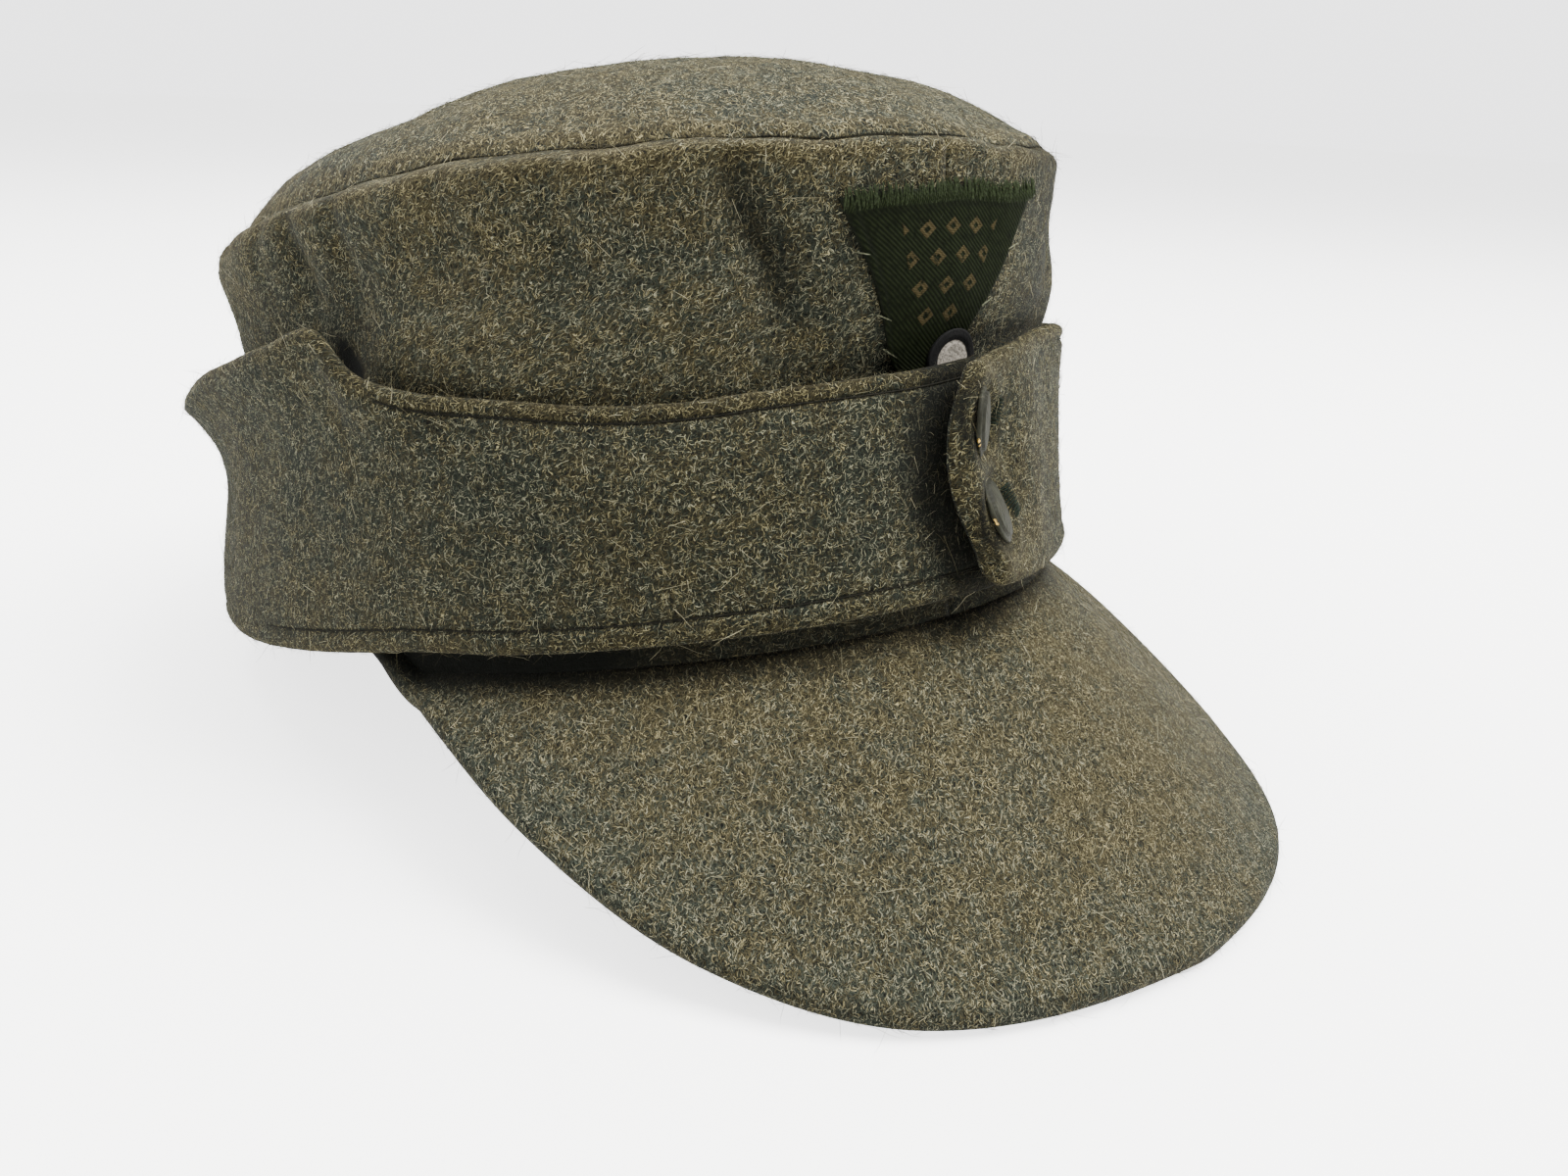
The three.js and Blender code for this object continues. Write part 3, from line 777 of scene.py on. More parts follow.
class Draft:
    """Adds nodes to one tree and links them."""

    def __init__(self, tree: Tree) -> None:
        """Keeps the tree."""
        self.tree = tree

    def node(self, kind: str, inputs: dict[Any, Any] | None = None, **settings: Any) -> Any:
        """Adds one node.

        Args:
            kind: its Blender type.
            inputs: a socket to link, or a value, for each named or numbered input.
            settings: its other properties.

        Returns:
            The node.
        """
        made = self.tree.nodes.new(kind)
        for key, value in settings.items():
            setattr(made, key, value)
        self.put(made, inputs or {})
        return made

    def put(self, node: Any, inputs: dict[Any, Any]) -> None:
        """Links a socket to each input of a node, or gives it a value."""
        for key, value in inputs.items():
            if isinstance(value, Socket):
                self.tree.links.new(value, node.inputs[key])
            elif node.inputs[key].type == "RGBA":
                node.inputs[key].default_value = (*value[:3], 1.0)
            else:
                node.inputs[key].default_value = value

    def math(self, operation: str, *values: Any, clamp: bool = False) -> Socket:
        """Returns the result of one Math node."""
        inputs = dict(enumerate(values))
        made = self.node("ShaderNodeMath", inputs, operation=operation, use_clamp=clamp)
        return made.outputs[0]

    def times(self, first: Any, second: Any) -> Socket:
        """Returns one value times another."""
        return self.math("MULTIPLY", first, second)

    def plus(self, first: Any, second: Any) -> Socket:
        """Returns the sum of two values."""
        return self.math("ADD", first, second)

    def minus(self, first: Any, second: Any) -> Socket:
        """Returns one value less another."""
        return self.math("SUBTRACT", first, second)

    def size(self, value: Any) -> Socket:
        """Returns a value without its sign."""
        return self.math("ABSOLUTE", value)

    def vector(self, operation: str, *values: Any) -> Socket:
        """Returns the vector of one Vector Math node."""
        made = self.node("ShaderNodeVectorMath", dict(enumerate(values)), operation=operation)
        return made.outputs["Vector"]

    def scaled(self, vector: Socket, size: Any) -> Socket:
        """Returns a vector times a number."""
        made = self.node("ShaderNodeVectorMath", {0: vector, "Scale": size}, operation="SCALE")
        return made.outputs["Vector"]

    def swirl(self, colour: Socket, size: Any) -> Socket:
        """Returns a noise's colour as a vector that points any way, times a number."""
        return self.scaled(self.vector("SUBTRACT", colour, (0.5, 0.5, 0.5)), size)

    def axes(self, **parts: Any) -> Socket:
        """Returns the vector of its parts, named X, Y and Z."""
        return self.node("ShaderNodeCombineXYZ", parts).outputs[0]

    def split(self, vector: Socket) -> Any:
        """Returns the three parts of a vector."""
        return self.node("ShaderNodeSeparateXYZ", {0: vector}).outputs

    def step(self, value: Any, low: float, high: float, to_low: float = 0.0,
             to_high: float = 1.0) -> Socket:
        """Returns a value mapped smoothly from one range to another."""
        made = self.node(
            "ShaderNodeMapRange",
            {"Value": value, "From Min": low, "From Max": high, "To Min": to_low,
             "To Max": to_high},
            interpolation_type="SMOOTHSTEP",
        )
        return made.outputs["Result"]

    def mix(self, factor: Any, first: Any, second: Any) -> Socket:
        """Returns two colours mixed."""
        made = self.node("ShaderNodeMix", {0: factor, 6: first, 7: second}, data_type="RGBA")
        return made.outputs[2]

    def tones(self, factor: Any, colour: Colour, dark: float, pale: float) -> Socket:
        """Returns a colour between a darker and a paler tone of itself."""
        return self.mix(factor, tuple(dark * part for part in colour),
                        tuple(min(1.0, pale * part) for part in colour))

    def noise(self, vector: Socket, scale: float, detail: float = 2.0, roughness: float = 0.5,
              distortion: float = 0.0) -> Any:
        """Returns the outputs of a noise texture."""
        made = self.node(
            "ShaderNodeTexNoise",
            {"Vector": vector, "Scale": scale, "Detail": detail, "Roughness": roughness,
             "Distortion": distortion},
        )
        return made.outputs

    def relief(self, height: Socket, strength: float, distance: float) -> Socket:
        """Returns the normal of a bumpy surface."""
        made = self.node("ShaderNodeBump",
                         {"Height": height, "Strength": strength, "Distance": distance})
        return made.outputs["Normal"]

    def place(self) -> Socket:
        """Returns the place on the object."""
        return self.node("ShaderNodeTexCoord").outputs["Object"]

    def seen(self, unseen: float, seen: float) -> Socket:
        """Returns one value for the camera's rays and another for the rest."""
        ray = self.node("ShaderNodeLightPath").outputs["Is Camera Ray"]
        made = self.node("ShaderNodeMapRange", {"Value": ray, "To Min": unseen, "To Max": seen})
        return made.outputs[0]

    def lay(self) -> Socket:
        """Returns the place on the flat cloth."""
        return self.node("ShaderNodeAttribute", attribute_name="lay").outputs["Vector"]

    def tube(self, curve: Socket, sides: int) -> Any:
        """Returns the node that makes a curve a closed tube of radius 1."""
        section = self.node("GeometryNodeCurvePrimitiveCircle",
                            {"Resolution": sides, "Radius": 1.0})
        return self.node("GeometryNodeCurveToMesh",
                         {"Curve": curve, "Profile Curve": section.outputs["Curve"],
                          "Fill Caps": True})

    def line(self, start: float, end: float, count: int) -> Socket:
        """Returns a straight curve along X with a number of points."""
        made = self.node("GeometryNodeCurvePrimitiveLine",
                         {"Start": (start, 0, 0), "End": (end, 0, 0)})
        return self.node("GeometryNodeResampleCurve",
                         {"Curve": made.outputs[0], "Count": count}).outputs[0]

    def moved(self, geometry: Socket, **inputs: Any) -> Socket:
        """Returns a geometry with its points moved by an Offset or to a Position."""
        return self.node("GeometryNodeSetPosition", {"Geometry": geometry, **inputs}).outputs[0]

    def strew(self, points: Socket, body: Socket, rotation: Socket, size: Socket) -> Socket:
        """Returns a copy of a body at each point, made real."""
        placed = self.node("GeometryNodeInstanceOnPoints",
                           {"Points": points, "Instance": body, "Rotation": rotation,
                            "Scale": size})
        return self.node("GeometryNodeRealizeInstances", {0: placed.outputs[0]}).outputs[0]

    def stored(self, name: str, kind: str) -> Socket:
        """Returns a value stored on a geometry."""
        made = self.node("GeometryNodeInputNamedAttribute", {"Name": name}, data_type=kind)
        return made.outputs["Attribute"]

    def attribute(self, name: str) -> Socket:
        """Returns a stored value."""
        return self.node("ShaderNodeAttribute", attribute_name=name).outputs["Fac"]


class Group:
    """A new node group: what adds its nodes, its inputs' sockets and its output node."""

    def __init__(self, name: str, kind: str, inputs: dict[str, str],
                 outputs: dict[str, str]) -> None:
        """Makes the group with its sockets.

        Args:
            name: its name.
            kind: its tree's Blender type.
            inputs: each input's socket type.
            outputs: each output's socket type.
        """
        tree = bpy.data.node_groups.new(name, kind)
        socket = tree.interface.new_socket
        self.names = {key: socket(key, in_out="INPUT", socket_type=value).identifier
                      for key, value in inputs.items()}
        for key, value in outputs.items():
            socket(key, in_out="OUTPUT", socket_type=value)
        self.draft = Draft(tree)
        self.get = tree.nodes.new("NodeGroupInput").outputs
        self.result = tree.nodes.new("NodeGroupOutput")


VECTOR, COLOUR, NUMBER = "NodeSocketVector", "NodeSocketColor", "NodeSocketFloat"
GEOMETRY = "NodeSocketGeometry"


@cache
def strand_group() -> Tree:
    """Returns the group that lays one short bent fibre in each cell of the flat cloth."""
    least_turn, turn_range, most_bow = -0.2, 0.85 * math.pi, 1500.0
    soft_side, soft_end, warm_edge, pale_from = 0.35, 0.75, 0.08, 0.72
    tone_shuffle, tone_range, least_tone = 13.7, 1.7, 0.3
    group = Group(
        "wool_strands", "ShaderNodeTree",
        {"Vector": VECTOR, "Scale": NUMBER, "Half Width": NUMBER, "Half Length": NUMBER,
         "Cool": COLOUR, "Warm": COLOUR, "Pale": COLOUR, "Warmth": NUMBER},
        {"Color": COLOUR, "Mask": NUMBER},
    )
    draft, get = group.draft, group.get
    cells = draft.node("ShaderNodeTexVoronoi", {"Vector": get["Vector"], "Scale": get["Scale"]},
                       voronoi_dimensions="2D").outputs
    off = draft.split(draft.vector("SUBTRACT", get["Vector"], cells["Position"]))
    chance = draft.node("ShaderNodeSeparateColor", {0: cells["Color"]}).outputs
    turn = draft.times(draft.plus(chance[0], least_turn), turn_range)
    cos, sin = draft.math("COSINE", turn), draft.math("SINE", turn)
    along = draft.plus(draft.times(off[0], cos), draft.times(off[1], sin))
    across = draft.minus(draft.times(off[1], cos), draft.times(off[0], sin))
    bow = draft.times(draft.minus(chance[2], 0.5), most_bow)
    bent = draft.plus(across, draft.times(bow, draft.times(along, along)))
    thin = draft.math("DIVIDE", draft.size(bent), get["Half Width"])
    short = draft.math("DIVIDE", draft.size(along), get["Half Length"])
    mask = draft.times(draft.step(thin, 1.0, soft_side), draft.step(short, 1.0, soft_end))
    warm = draft.step(draft.minus(chance[1], get["Warmth"]), warm_edge, -warm_edge)
    other = draft.math("FRACT", draft.times(chance[1], tone_shuffle))
    base = draft.mix(warm, get["Cool"], get["Warm"])
    lit = draft.scaled(base, draft.plus(draft.times(other, tone_range), least_tone))
    golden = draft.vector("MULTIPLY", get["Pale"], (1.06, 0.96, 0.76))
    bright = draft.mix(warm, get["Pale"], golden)
    shown = draft.mix(draft.step(other, pale_from, 1.0), lit, bright)
    draft.put(group.result, {"Color": shown, "Mask": mask})
    return draft.tree


class StrandLayer(NamedTuple):
    """One layer of painted fibres: how close they lie, and their size in metres."""

    scale: float
    half_width: float
    half_length: float


STRAND_LAYERS = table(
    StrandLayer,
    (1250.0, 0.000075, 0.0006), (1500.0, 0.000065, 0.0005), (1720.0, 0.00006, 0.00045),
    (1400.0, 0.00006, 0.0005), (1610.0, 0.00006, 0.0005), (1330.0, 0.00005, 0.0006),
    (880.0, 0.00005, 0.001),
)


@cache
def wool_group() -> Tree:
    """Returns the group that paints fulled wool: dark ground, layers of fibres and painted shade."""
    broad_scale, mottle_scale, swirl_scale, speck_scale = 30.0, 210.0, 620.0, 2900.0
    broad_warmth, mottle_warmth, drift, ground_tone, most_shade = 0.3, 0.4, 0.0016, 0.8, 0.93
    layer_shift = (0.0371, 0.0613)
    group = Group(
        "fulled_wool", "ShaderNodeTree",
        {"Vector": VECTOR, "Lay": VECTOR, "Cool": COLOUR, "Warm": COLOUR, "Pale": COLOUR,
         "Dark": COLOUR, "Warmth": NUMBER, "Painted Shade": NUMBER},
        {"Color": COLOUR, "Height": NUMBER},
    )
    draft, get = group.draft, group.get
    broad = draft.step(draft.noise(get["Vector"], broad_scale)["Fac"], 0.36, 0.64)
    mottle = draft.step(draft.noise(get["Vector"], mottle_scale, 2.0, 0.6)["Fac"], 0.34, 0.66)
    clouds = draft.plus(draft.times(broad, broad_warmth), draft.times(mottle, mottle_warmth))
    warmth = draft.math("ADD", clouds, get["Warmth"], clamp=True)
    swirl = draft.swirl(draft.noise(get["Lay"], swirl_scale, 1.0)["Color"], drift)
    bent = draft.vector("ADD", get["Lay"], swirl)
    speck = draft.noise(bent, speck_scale, 1.0, 0.6)["Fac"]
    ground = draft.mix(warmth, get["Cool"], get["Warm"])
    shown = draft.mix(draft.step(speck, 0.46, 0.66), get["Dark"],
                      draft.scaled(ground, ground_tone))
    for place, layer in enumerate(STRAND_LAYERS):
        shift = (layer_shift[0] * place, layer_shift[1] * place, 0.0)
        strand = draft.node("ShaderNodeGroup", {
            "Vector": draft.vector("ADD", bent, shift), "Scale": layer.scale,
            "Half Width": layer.half_width, "Half Length": layer.half_length,
            "Cool": get["Cool"], "Warm": get["Warm"], "Pale": get["Pale"], "Warmth": warmth,
        }, node_tree=strand_group())
        shown = draft.mix(strand.outputs["Mask"], shown, strand.outputs["Color"])
    # painted shade: the mask darkens the wool towards Dark in creases, gaps and where shadows fall
    shaded = draft.math("MULTIPLY", get["Painted Shade"], most_shade, clamp=True)
    draft.put(group.result, {"Color": draft.mix(shaded, shown, get["Dark"]), "Height": speck})
    return draft.tree


def new_material(name: str) -> tuple[Material, Draft, Any]:
    """Returns a material, its draft and its Principled shader."""
    material = bpy.data.materials.new(name)
    material.use_nodes = True
    return material, Draft(material.node_tree), material.node_tree.nodes["Principled BSDF"]


@dataclass(frozen=True)
class Finish:
    """A finish. Each kind says in shades what goes into its shader."""

    name: str

    def material(self) -> Material:
        """Returns the finish as a material."""
        material, draft, shader = new_material(self.name)
        draft.put(shader, self.shades(draft))
        return material

    def shades(self, draft: Draft) -> dict[str, Any]:
        """Returns a socket or a value for each of the shader's inputs."""
        raise NotImplementedError


@dataclass(frozen=True)
class WoolFinish(Finish):
    """Fulled wool: a mottled ground of two tones with pale and dark fibres, and painted shade."""

    cool: Colour
    warm: Colour
    pale: Colour
    # the colour of the dark specks, and the colour that painted shade darkens towards
    dark: Colour = (0.004, 0.0045, 0.0035)
    warmth: float = 0.0
    wear_warmth: float = 0.7

    def shades(self, draft: Draft) -> dict[str, Any]:
        """Returns the shader's inputs, from the wear mask and the painted shade mask."""
        warmth = draft.plus(draft.times(draft.attribute("wear"), self.wear_warmth), self.warmth)
        wool = draft.node("ShaderNodeGroup", {
            "Vector": draft.place(), "Lay": draft.lay(), "Cool": self.cool, "Warm": self.warm,
            "Pale": self.pale, "Dark": self.dark, "Warmth": warmth,
            # painted shade mask, darker where shade falls
            "Painted Shade": draft.attribute("groove"),
        }, node_tree=wool_group())
        return {
            "Base Color": wool.outputs["Color"],
            "Normal": draft.relief(wool.outputs["Height"], 0.7, 0.0003),
            "Roughness": 0.95, "Specular IOR Level": 0.05,
            "Sheen Weight": 0.03, "Sheen Roughness": 0.5,
        }


@dataclass(frozen=True)
class FibreFinish(Finish):
    """Single wool fibres, each of one tone between four."""

    name: str = "wool_fibres"
    tones: tuple[Colour, ...] = (
        (0.012, 0.014, 0.01), (0.045, 0.038, 0.017), (0.1, 0.09, 0.046), (0.42, 0.39, 0.25),
    )
    places: tuple[float, ...] = (0.0, 0.45, 0.8, 1.0)

    def shades(self, draft: Draft) -> dict[str, Any]:
        """Returns the shader's inputs, from each fibre's tone."""
        ramp = draft.node("ShaderNodeValToRGB", {"Fac": draft.attribute("tone")})
        stops = ramp.color_ramp.elements
        while len(stops) < len(self.tones):
            stops.new(0.5)
        for stop, place, tone in zip(stops, self.places, self.tones):
            stop.position, stop.color = place, (*tone, 1.0)
        return {"Base Color": ramp.outputs["Color"], "Roughness": 0.7,
                "Specular IOR Level": 0.15}


@dataclass(frozen=True)
class ThreadFinish(Finish):
    """Sewing thread of one colour, with twisted plies."""

    colour: Colour

    def shades(self, draft: Draft) -> dict[str, Any]:
        """Returns the shader's inputs."""
        ply = draft.noise(draft.place(), 2600, 2.0, 0.6)["Fac"]
        return {
            "Base Color": draft.tones(draft.step(ply, 0.35, 0.65), self.colour, 0.55, 1.4),
            "Normal": draft.relief(ply, 0.5, 0.0001), "Roughness": 0.8,
            "Specular IOR Level": 0.1,
        }


@dataclass(frozen=True)
class TwillFinish(Finish):
    """Dark woven twill with a paler satin strip, woven tan lozenges and painted edge shade."""

    name: str = "patch_twill"
    ground: Colour = (0.0028, 0.004, 0.0016)
    rib: Colour = (0.009, 0.0125, 0.0048)
    satin: Colour = (0.013, 0.019, 0.007)
    tan: Colour = (0.05, 0.04, 0.018)
    edge_shade: Colour = (0.006, 0.007, 0.005)
    edge_shade_share: float = 0.85
    height: float = 37.5
    strip: Pair = (2.7, 2.3)
    twill_up: float = 8.2
    twill_across: float = 7.0
    weft_lines: float = 24.0
    satin_lines: float = 15.0
    motif_size: Pair = (5.4, 4.6)
    motif_rows: Pair = (15.0, 32.0)

    def shades(self, draft: Draft) -> dict[str, Any]:
        """Returns the shader's inputs, from how the patch's cloth lies."""
        lay = draft.split(draft.scaled(draft.lay(), 1 / MM))
        across, up = lay["X"], lay["Y"]
        diagonal = draft.minus(draft.times(up, self.twill_up),
                               draft.times(across, self.twill_across))
        twill = draft.plus(draft.times(draft.math("SINE", diagonal), 0.5), 0.5)
        weft = draft.math("SINE", draft.times(up, self.weft_lines))
        fray = draft.noise(draft.place(), 900, 3.0, 0.6)["Fac"]
        cloth = draft.mix(draft.times(twill, draft.step(fray, 0.25, 0.6)), self.ground, self.rib)
        streaks = draft.math("SINE", draft.plus(draft.times(across, self.satin_lines),
                                                draft.times(fray, 9.0)))
        glossy = draft.mix(draft.step(streaks, -0.8, 0.9), self.ground, self.satin)
        strip = draft.step(up, *(self.height - edge for edge in self.strip))
        motif = self.lozenges(draft, across, up)
        thread = draft.tones(draft.step(weft, -0.6, 0.9), self.tan, 0.45, 1.0)
        shown = draft.mix(draft.times(motif, draft.step(fray, 0.3, 0.5)),
                          draft.mix(strip, cloth, glossy), thread)
        height = draft.plus(draft.times(twill, 0.5),
                            draft.plus(draft.times(fray, 0.6), draft.times(motif, 0.9)))
        # painted shade: darker at the patch's edges and in its grooves
        in_shade = draft.times(draft.attribute("groove"), self.edge_shade_share)
        return {
            "Base Color": draft.mix(in_shade, shown, self.edge_shade),
            "Normal": draft.relief(height, 0.7, 0.00025), "Roughness": 0.8,
            "Specular IOR Level": 0.04,
        }

    def lozenges(self, draft: Draft, across: Socket, up: Socket) -> Socket:
        """Returns the mask of the woven lozenges: rows that get shorter downwards.

        Args:
            draft: the material's draft.
            across: millimetres from the middle of the patch.
            up: millimetres from its lower edge.
        """
        (wide, tall), (rows_from, rows_to) = self.motif_size, self.motif_rows
        level = draft.math("DIVIDE", draft.minus(up, rows_from), tall)
        shift = draft.times(draft.math("MODULO", draft.math("FLOOR", level), 2.0), 0.5)
        cell = draft.plus(draft.math("DIVIDE", across, wide), shift)
        keep_positive = 40.0
        off_x = draft.size(draft.minus(
            draft.math("FRACT", draft.plus(cell, keep_positive)), 0.5))
        off_y = draft.size(draft.minus(draft.math("FRACT", level), 0.5))
        off = draft.plus(off_x, off_y)
        ring = draft.times(draft.step(off, 0.34, 0.3), draft.step(off, 0.1, 0.13))
        limit = draft.plus(draft.times(up, 0.3), 1.0)
        inside = draft.step(draft.minus(limit, draft.size(across)), 0, 0.4)
        span = draft.times(draft.step(up, rows_from, rows_from + 0.2),
                           draft.step(up, rows_to + 1.2, rows_to + 1.0))
        return draft.times(ring, draft.times(inside, span))


@dataclass(frozen=True)
class PaintFinish(Finish):
    """Matt paint over fine pebbled metal, chipped to brass at the rim, painted shade in its groove."""

    name: str = "painted_metal"
    paint: Colour = (0.0205, 0.021, 0.014)
    brass: Colour = (0.55, 0.36, 0.1)
    rim_shade: Colour = (0.015, 0.015, 0.012)
    rim_shade_share: float = 0.7

    def shades(self, draft: Draft) -> dict[str, Any]:
        """Returns the shader's inputs, from the chip mask and the painted shade mask."""
        place = draft.place()
        pebble = draft.node("ShaderNodeTexVoronoi", {"Vector": place, "Scale": 1500.0},
                            feature="SMOOTH_F1").outputs["Distance"]
        cloud = draft.noise(place, 420, 4.0, 0.65)["Fac"]
        tone = draft.tones(draft.step(cloud, 0.3, 0.7), self.paint, 0.6, 1.35)
        # painted shade in the groove inside the rim
        in_shade = draft.mix(draft.times(draft.attribute("groove"), self.rim_shade_share), tone,
                          self.rim_shade)
        speck = draft.noise(place, 1500)["Fac"]
        chip = draft.step(draft.times(draft.attribute("chip"), speck), 0.4, 0.44)
        return {
            "Base Color": draft.mix(chip, in_shade, self.brass), "Metallic": chip,
            "Roughness": draft.step(chip, 0.0, 1.0, 0.62, 0.3),
            "Normal": draft.relief(pebble, 0.8, 0.00022), "Specular IOR Level": 0.1,
        }


@dataclass(frozen=True)
class CockadeFinish(Finish):
    """A woven disc: a pale middle of twisted thread in a dark ring."""

    name: str = "cockade_thread"
    ring: Colour = (0.007, 0.007, 0.007)
    middle: Colour = (0.36, 0.33, 0.28)

    def shades(self, draft: Draft) -> dict[str, Any]:
        """Returns the shader's inputs, from how far out each point is."""
        thread = draft.noise(draft.place(), 2200, 2.0, 0.6, 0.6)["Fac"]
        pale = draft.tones(draft.step(thread, 0.35, 0.62), self.middle, 0.45, 1.0)
        outside = draft.step(draft.attribute("out"), 0.63, 0.67)
        return {
            "Base Color": draft.mix(outside, pale, self.ring),
            "Normal": draft.relief(thread, 0.8, 0.0002), "Roughness": 0.75,
            "Specular IOR Level": 0.15,
        }


class GrowTree(Group):
    """A geometry node tree that takes a geometry and gives what grows on it."""

    def finish(self, geometry: Socket) -> None:
        """Gives a geometry the Material input, and the tree that result."""
        finished = self.draft.node("GeometryNodeSetMaterial",
                                   {"Geometry": geometry, "Material": self.get["Material"]})
        self.draft.put(self.result, {0: finished.outputs[0]})

    def grow(self, name: str, host: Piece, values: dict[str, Any]) -> Piece:
        """Runs the tree on a host and returns what it makes as a plain mesh object.

        Args:
            name: the new object's name.
            host: the object whose mesh the tree reads.
            values: each input's value.
        """
        carrier = add_object(name, host.data)
        modifier = carrier.modifiers.new("grow", "NODES")
        modifier.node_group = self.draft.tree
        for key, value in values.items():
            modifier[self.names[key]] = value
        bpy.context.view_layer.update()
        depsgraph = bpy.context.evaluated_depsgraph_get()
        mesh = bpy.data.meshes.new_from_object(carrier.evaluated_get(depsgraph))
        bpy.data.objects.remove(carrier)
        mesh.name = name
        return add_object(name, mesh)


def fibre_tree() -> GrowTree:
    """Returns the tree that grows curled fibres out of a cloth's napped faces."""
    lowest, tone_salt, rareness = 0.0002, 900.0, 7.0
    grower = GrowTree("wool_nap", "GeometryNodeTree", {
        "Geometry": GEOMETRY, "Density": NUMBER, "Length": NUMBER, "Longest": NUMBER, "Radius": NUMBER,
        "Lift": NUMBER, "Curl": NUMBER, "Curl Scale": NUMBER, "Seed": "NodeSocketInt",
        "Material": "NodeSocketMaterial",
    }, {"Geometry": GEOMETRY})
    draft, get = grower.draft, grower.get
    density = draft.times(get["Density"], draft.stored("nap", "FLOAT"))
    points = draft.node("GeometryNodeDistributePointsOnFaces",
                        {"Mesh": get["Geometry"], "Density": density, "Seed": get["Seed"]})

    def chance(low: float, high: float, salt: int) -> Socket:
        """Returns a random number for each fibre."""
        seed = draft.plus(get["Seed"], float(salt))
        made = draft.node("FunctionNodeRandomValue", {2: low, 3: high, "Seed": seed})
        return made.outputs[1]

    def turned(rotation: Socket, **angles: Socket) -> Socket:
        """Returns a rotation turned further about its own axes."""
        made = draft.node("FunctionNodeRotateRotation", {0: rotation, 1: draft.axes(**angles)},
                          rotation_space="LOCAL")
        return made.outputs[0]

    spun = turned(points.outputs["Rotation"], Z=chance(0.0, 2 * math.pi, 3))
    leaning = turned(spun, Y=draft.times(chance(-1.0, 0.15, 5), get["Lift"]))
    toned = draft.node("GeometryNodeStoreNamedAttribute",
                       {"Geometry": points.outputs["Points"], "Name": "tone",
                        "Value": chance(0.0, 1.0, 7)}, data_type="FLOAT", domain="POINT")
    along = draft.node("GeometryNodeSplineParameter").outputs["Factor"]
    taper = draft.step(along, 0.45, 1.05, 1.0, 0.25)
    shaped = draft.node("GeometryNodeSetCurveRadius",
                        {"Curve": draft.line(0, 1, 4), "Radius": taper})
    body = draft.tube(shaped.outputs[0], 3)
    if "Scale" in body.inputs:
        draft.put(body, {"Scale": taper})
    rarely = draft.math("POWER", chance(0.0, 1.0, 11), rareness)
    length = draft.plus(draft.times(get["Length"], chance(0.6, 1.3, 17)),
                        draft.times(rarely, draft.minus(get["Longest"], get["Length"])))
    girth = draft.times(get["Radius"], chance(0.7, 1.25, 13))
    real = draft.strew(toned.outputs[0], body.outputs[0], leaning,
                       draft.axes(X=length, Y=girth, Z=girth))
    where = draft.node("GeometryNodeInputPosition").outputs[0]
    swirl = draft.node("ShaderNodeTexNoise",
                       {"Vector": draft.scaled(where, get["Curl Scale"]),
                        "W": draft.times(draft.stored("tone", "FLOAT"), tone_salt),
                        "Scale": 1.0, "Detail": 1.0}, noise_dimensions="4D")
    bend = draft.swirl(swirl.outputs["Color"], draft.times(get["Curl"], 2.0))
    curled = draft.moved(real, Offset=bend)
    x, y, z = draft.split(where)
    above = draft.axes(X=x, Y=y, Z=draft.math("MAXIMUM", z, lowest))
    grower.finish(draft.moved(curled, Position=above))
    return grower


def stitch_tree() -> GrowTree:
    """Returns the tree that sews arched stitches along a path with out and along vectors."""
    sunk = 0.6
    grower = GrowTree("stitches", "GeometryNodeTree", {
        "Geometry": GEOMETRY, "Length": NUMBER, "Radius": NUMBER, "Arch": NUMBER,
        "Material": "NodeSocketMaterial",
    }, {"Geometry": GEOMETRY})
    draft, get = grower.draft, grower.get
    along = draft.node("GeometryNodeSplineParameter").outputs["Factor"]
    hump = draft.math("SINE", draft.times(along, math.pi))
    arched = draft.moved(draft.line(-0.5, 0.5, 6), Offset=draft.axes(Z=draft.minus(hump, sunk)))
    turned = draft.node("FunctionNodeAxesToRotation",
                        {"Primary Axis": draft.stored("out", "FLOAT_VECTOR"),
                         "Secondary Axis": draft.stored("along", "FLOAT_VECTOR")},
                        primary_axis="Z", secondary_axis="X")
    points = draft.node("GeometryNodeMeshToPoints", {"Mesh": get["Geometry"]})
    grower.finish(draft.strew(
        points.outputs[0], draft.tube(arched, 6).outputs[0], turned.outputs[0],
        draft.axes(X=get["Length"], Y=get["Radius"], Z=get["Arch"])))
    return grower


class Stitch(NamedTuple):
    """A stitch's length, its thread's radius and how high it stands, in millimetres."""

    length: float
    radius: float
    arch: float


@dataclass
class Sewing:
    """Rows of stitches. A row is points with the way out of the cloth and the way along."""

    tree: GrowTree = field(default_factory=stitch_tree)

    def row(self, name: str, points: Array, out: Array, along: Array, stitch: Stitch,
            material: Material, slot: str) -> None:
        """Sews one row.

        Args:
            name: the piece's name.
            points: the middle of each stitch, level and in millimetres.
            out: the way out of the cloth at each stitch.
            along: the way each stitch lies.
            stitch: the stitches' size.
            material: the thread's finish.
            slot: the record's material slot.
        """
        host = new_object(name + "_path", FORM.to_row(points), [])
        store(host, "out", FORM.turn_to_row(out))
        store(host, "along", FORM.turn_to_row(along))
        made = self.tree.grow(name, host, {
            "Length": stitch.length * MM, "Radius": stitch.radius * MM,
            "Arch": stitch.arch * MM, "Material": material,
        })
        bpy.data.objects.remove(host)
        made.data.shade_smooth()
        dress(made, material, slot)


def even_columns(path: Array, pitch: float) -> Array:
    """Returns the columns, with parts between them, at an even pitch along a path."""
    steps = np.linalg.norm(np.diff(path, axis=0), axis=1)
    along = np.concatenate([[0.0], np.cumsum(steps)])
    return np.interp(np.arange(pitch / 2, along[-1], pitch), along, np.arange(len(path)))


def read_columns(values: Array, at: Array) -> Array:
    """Returns values, given for each column, at columns with parts between them."""
    low = np.minimum(at.astype(int), len(values) - 2)
    part = (at - low).reshape(-1, *[1] * (values.ndim - 1))
    return values[low] * (1 - part) + values[low + 1] * part


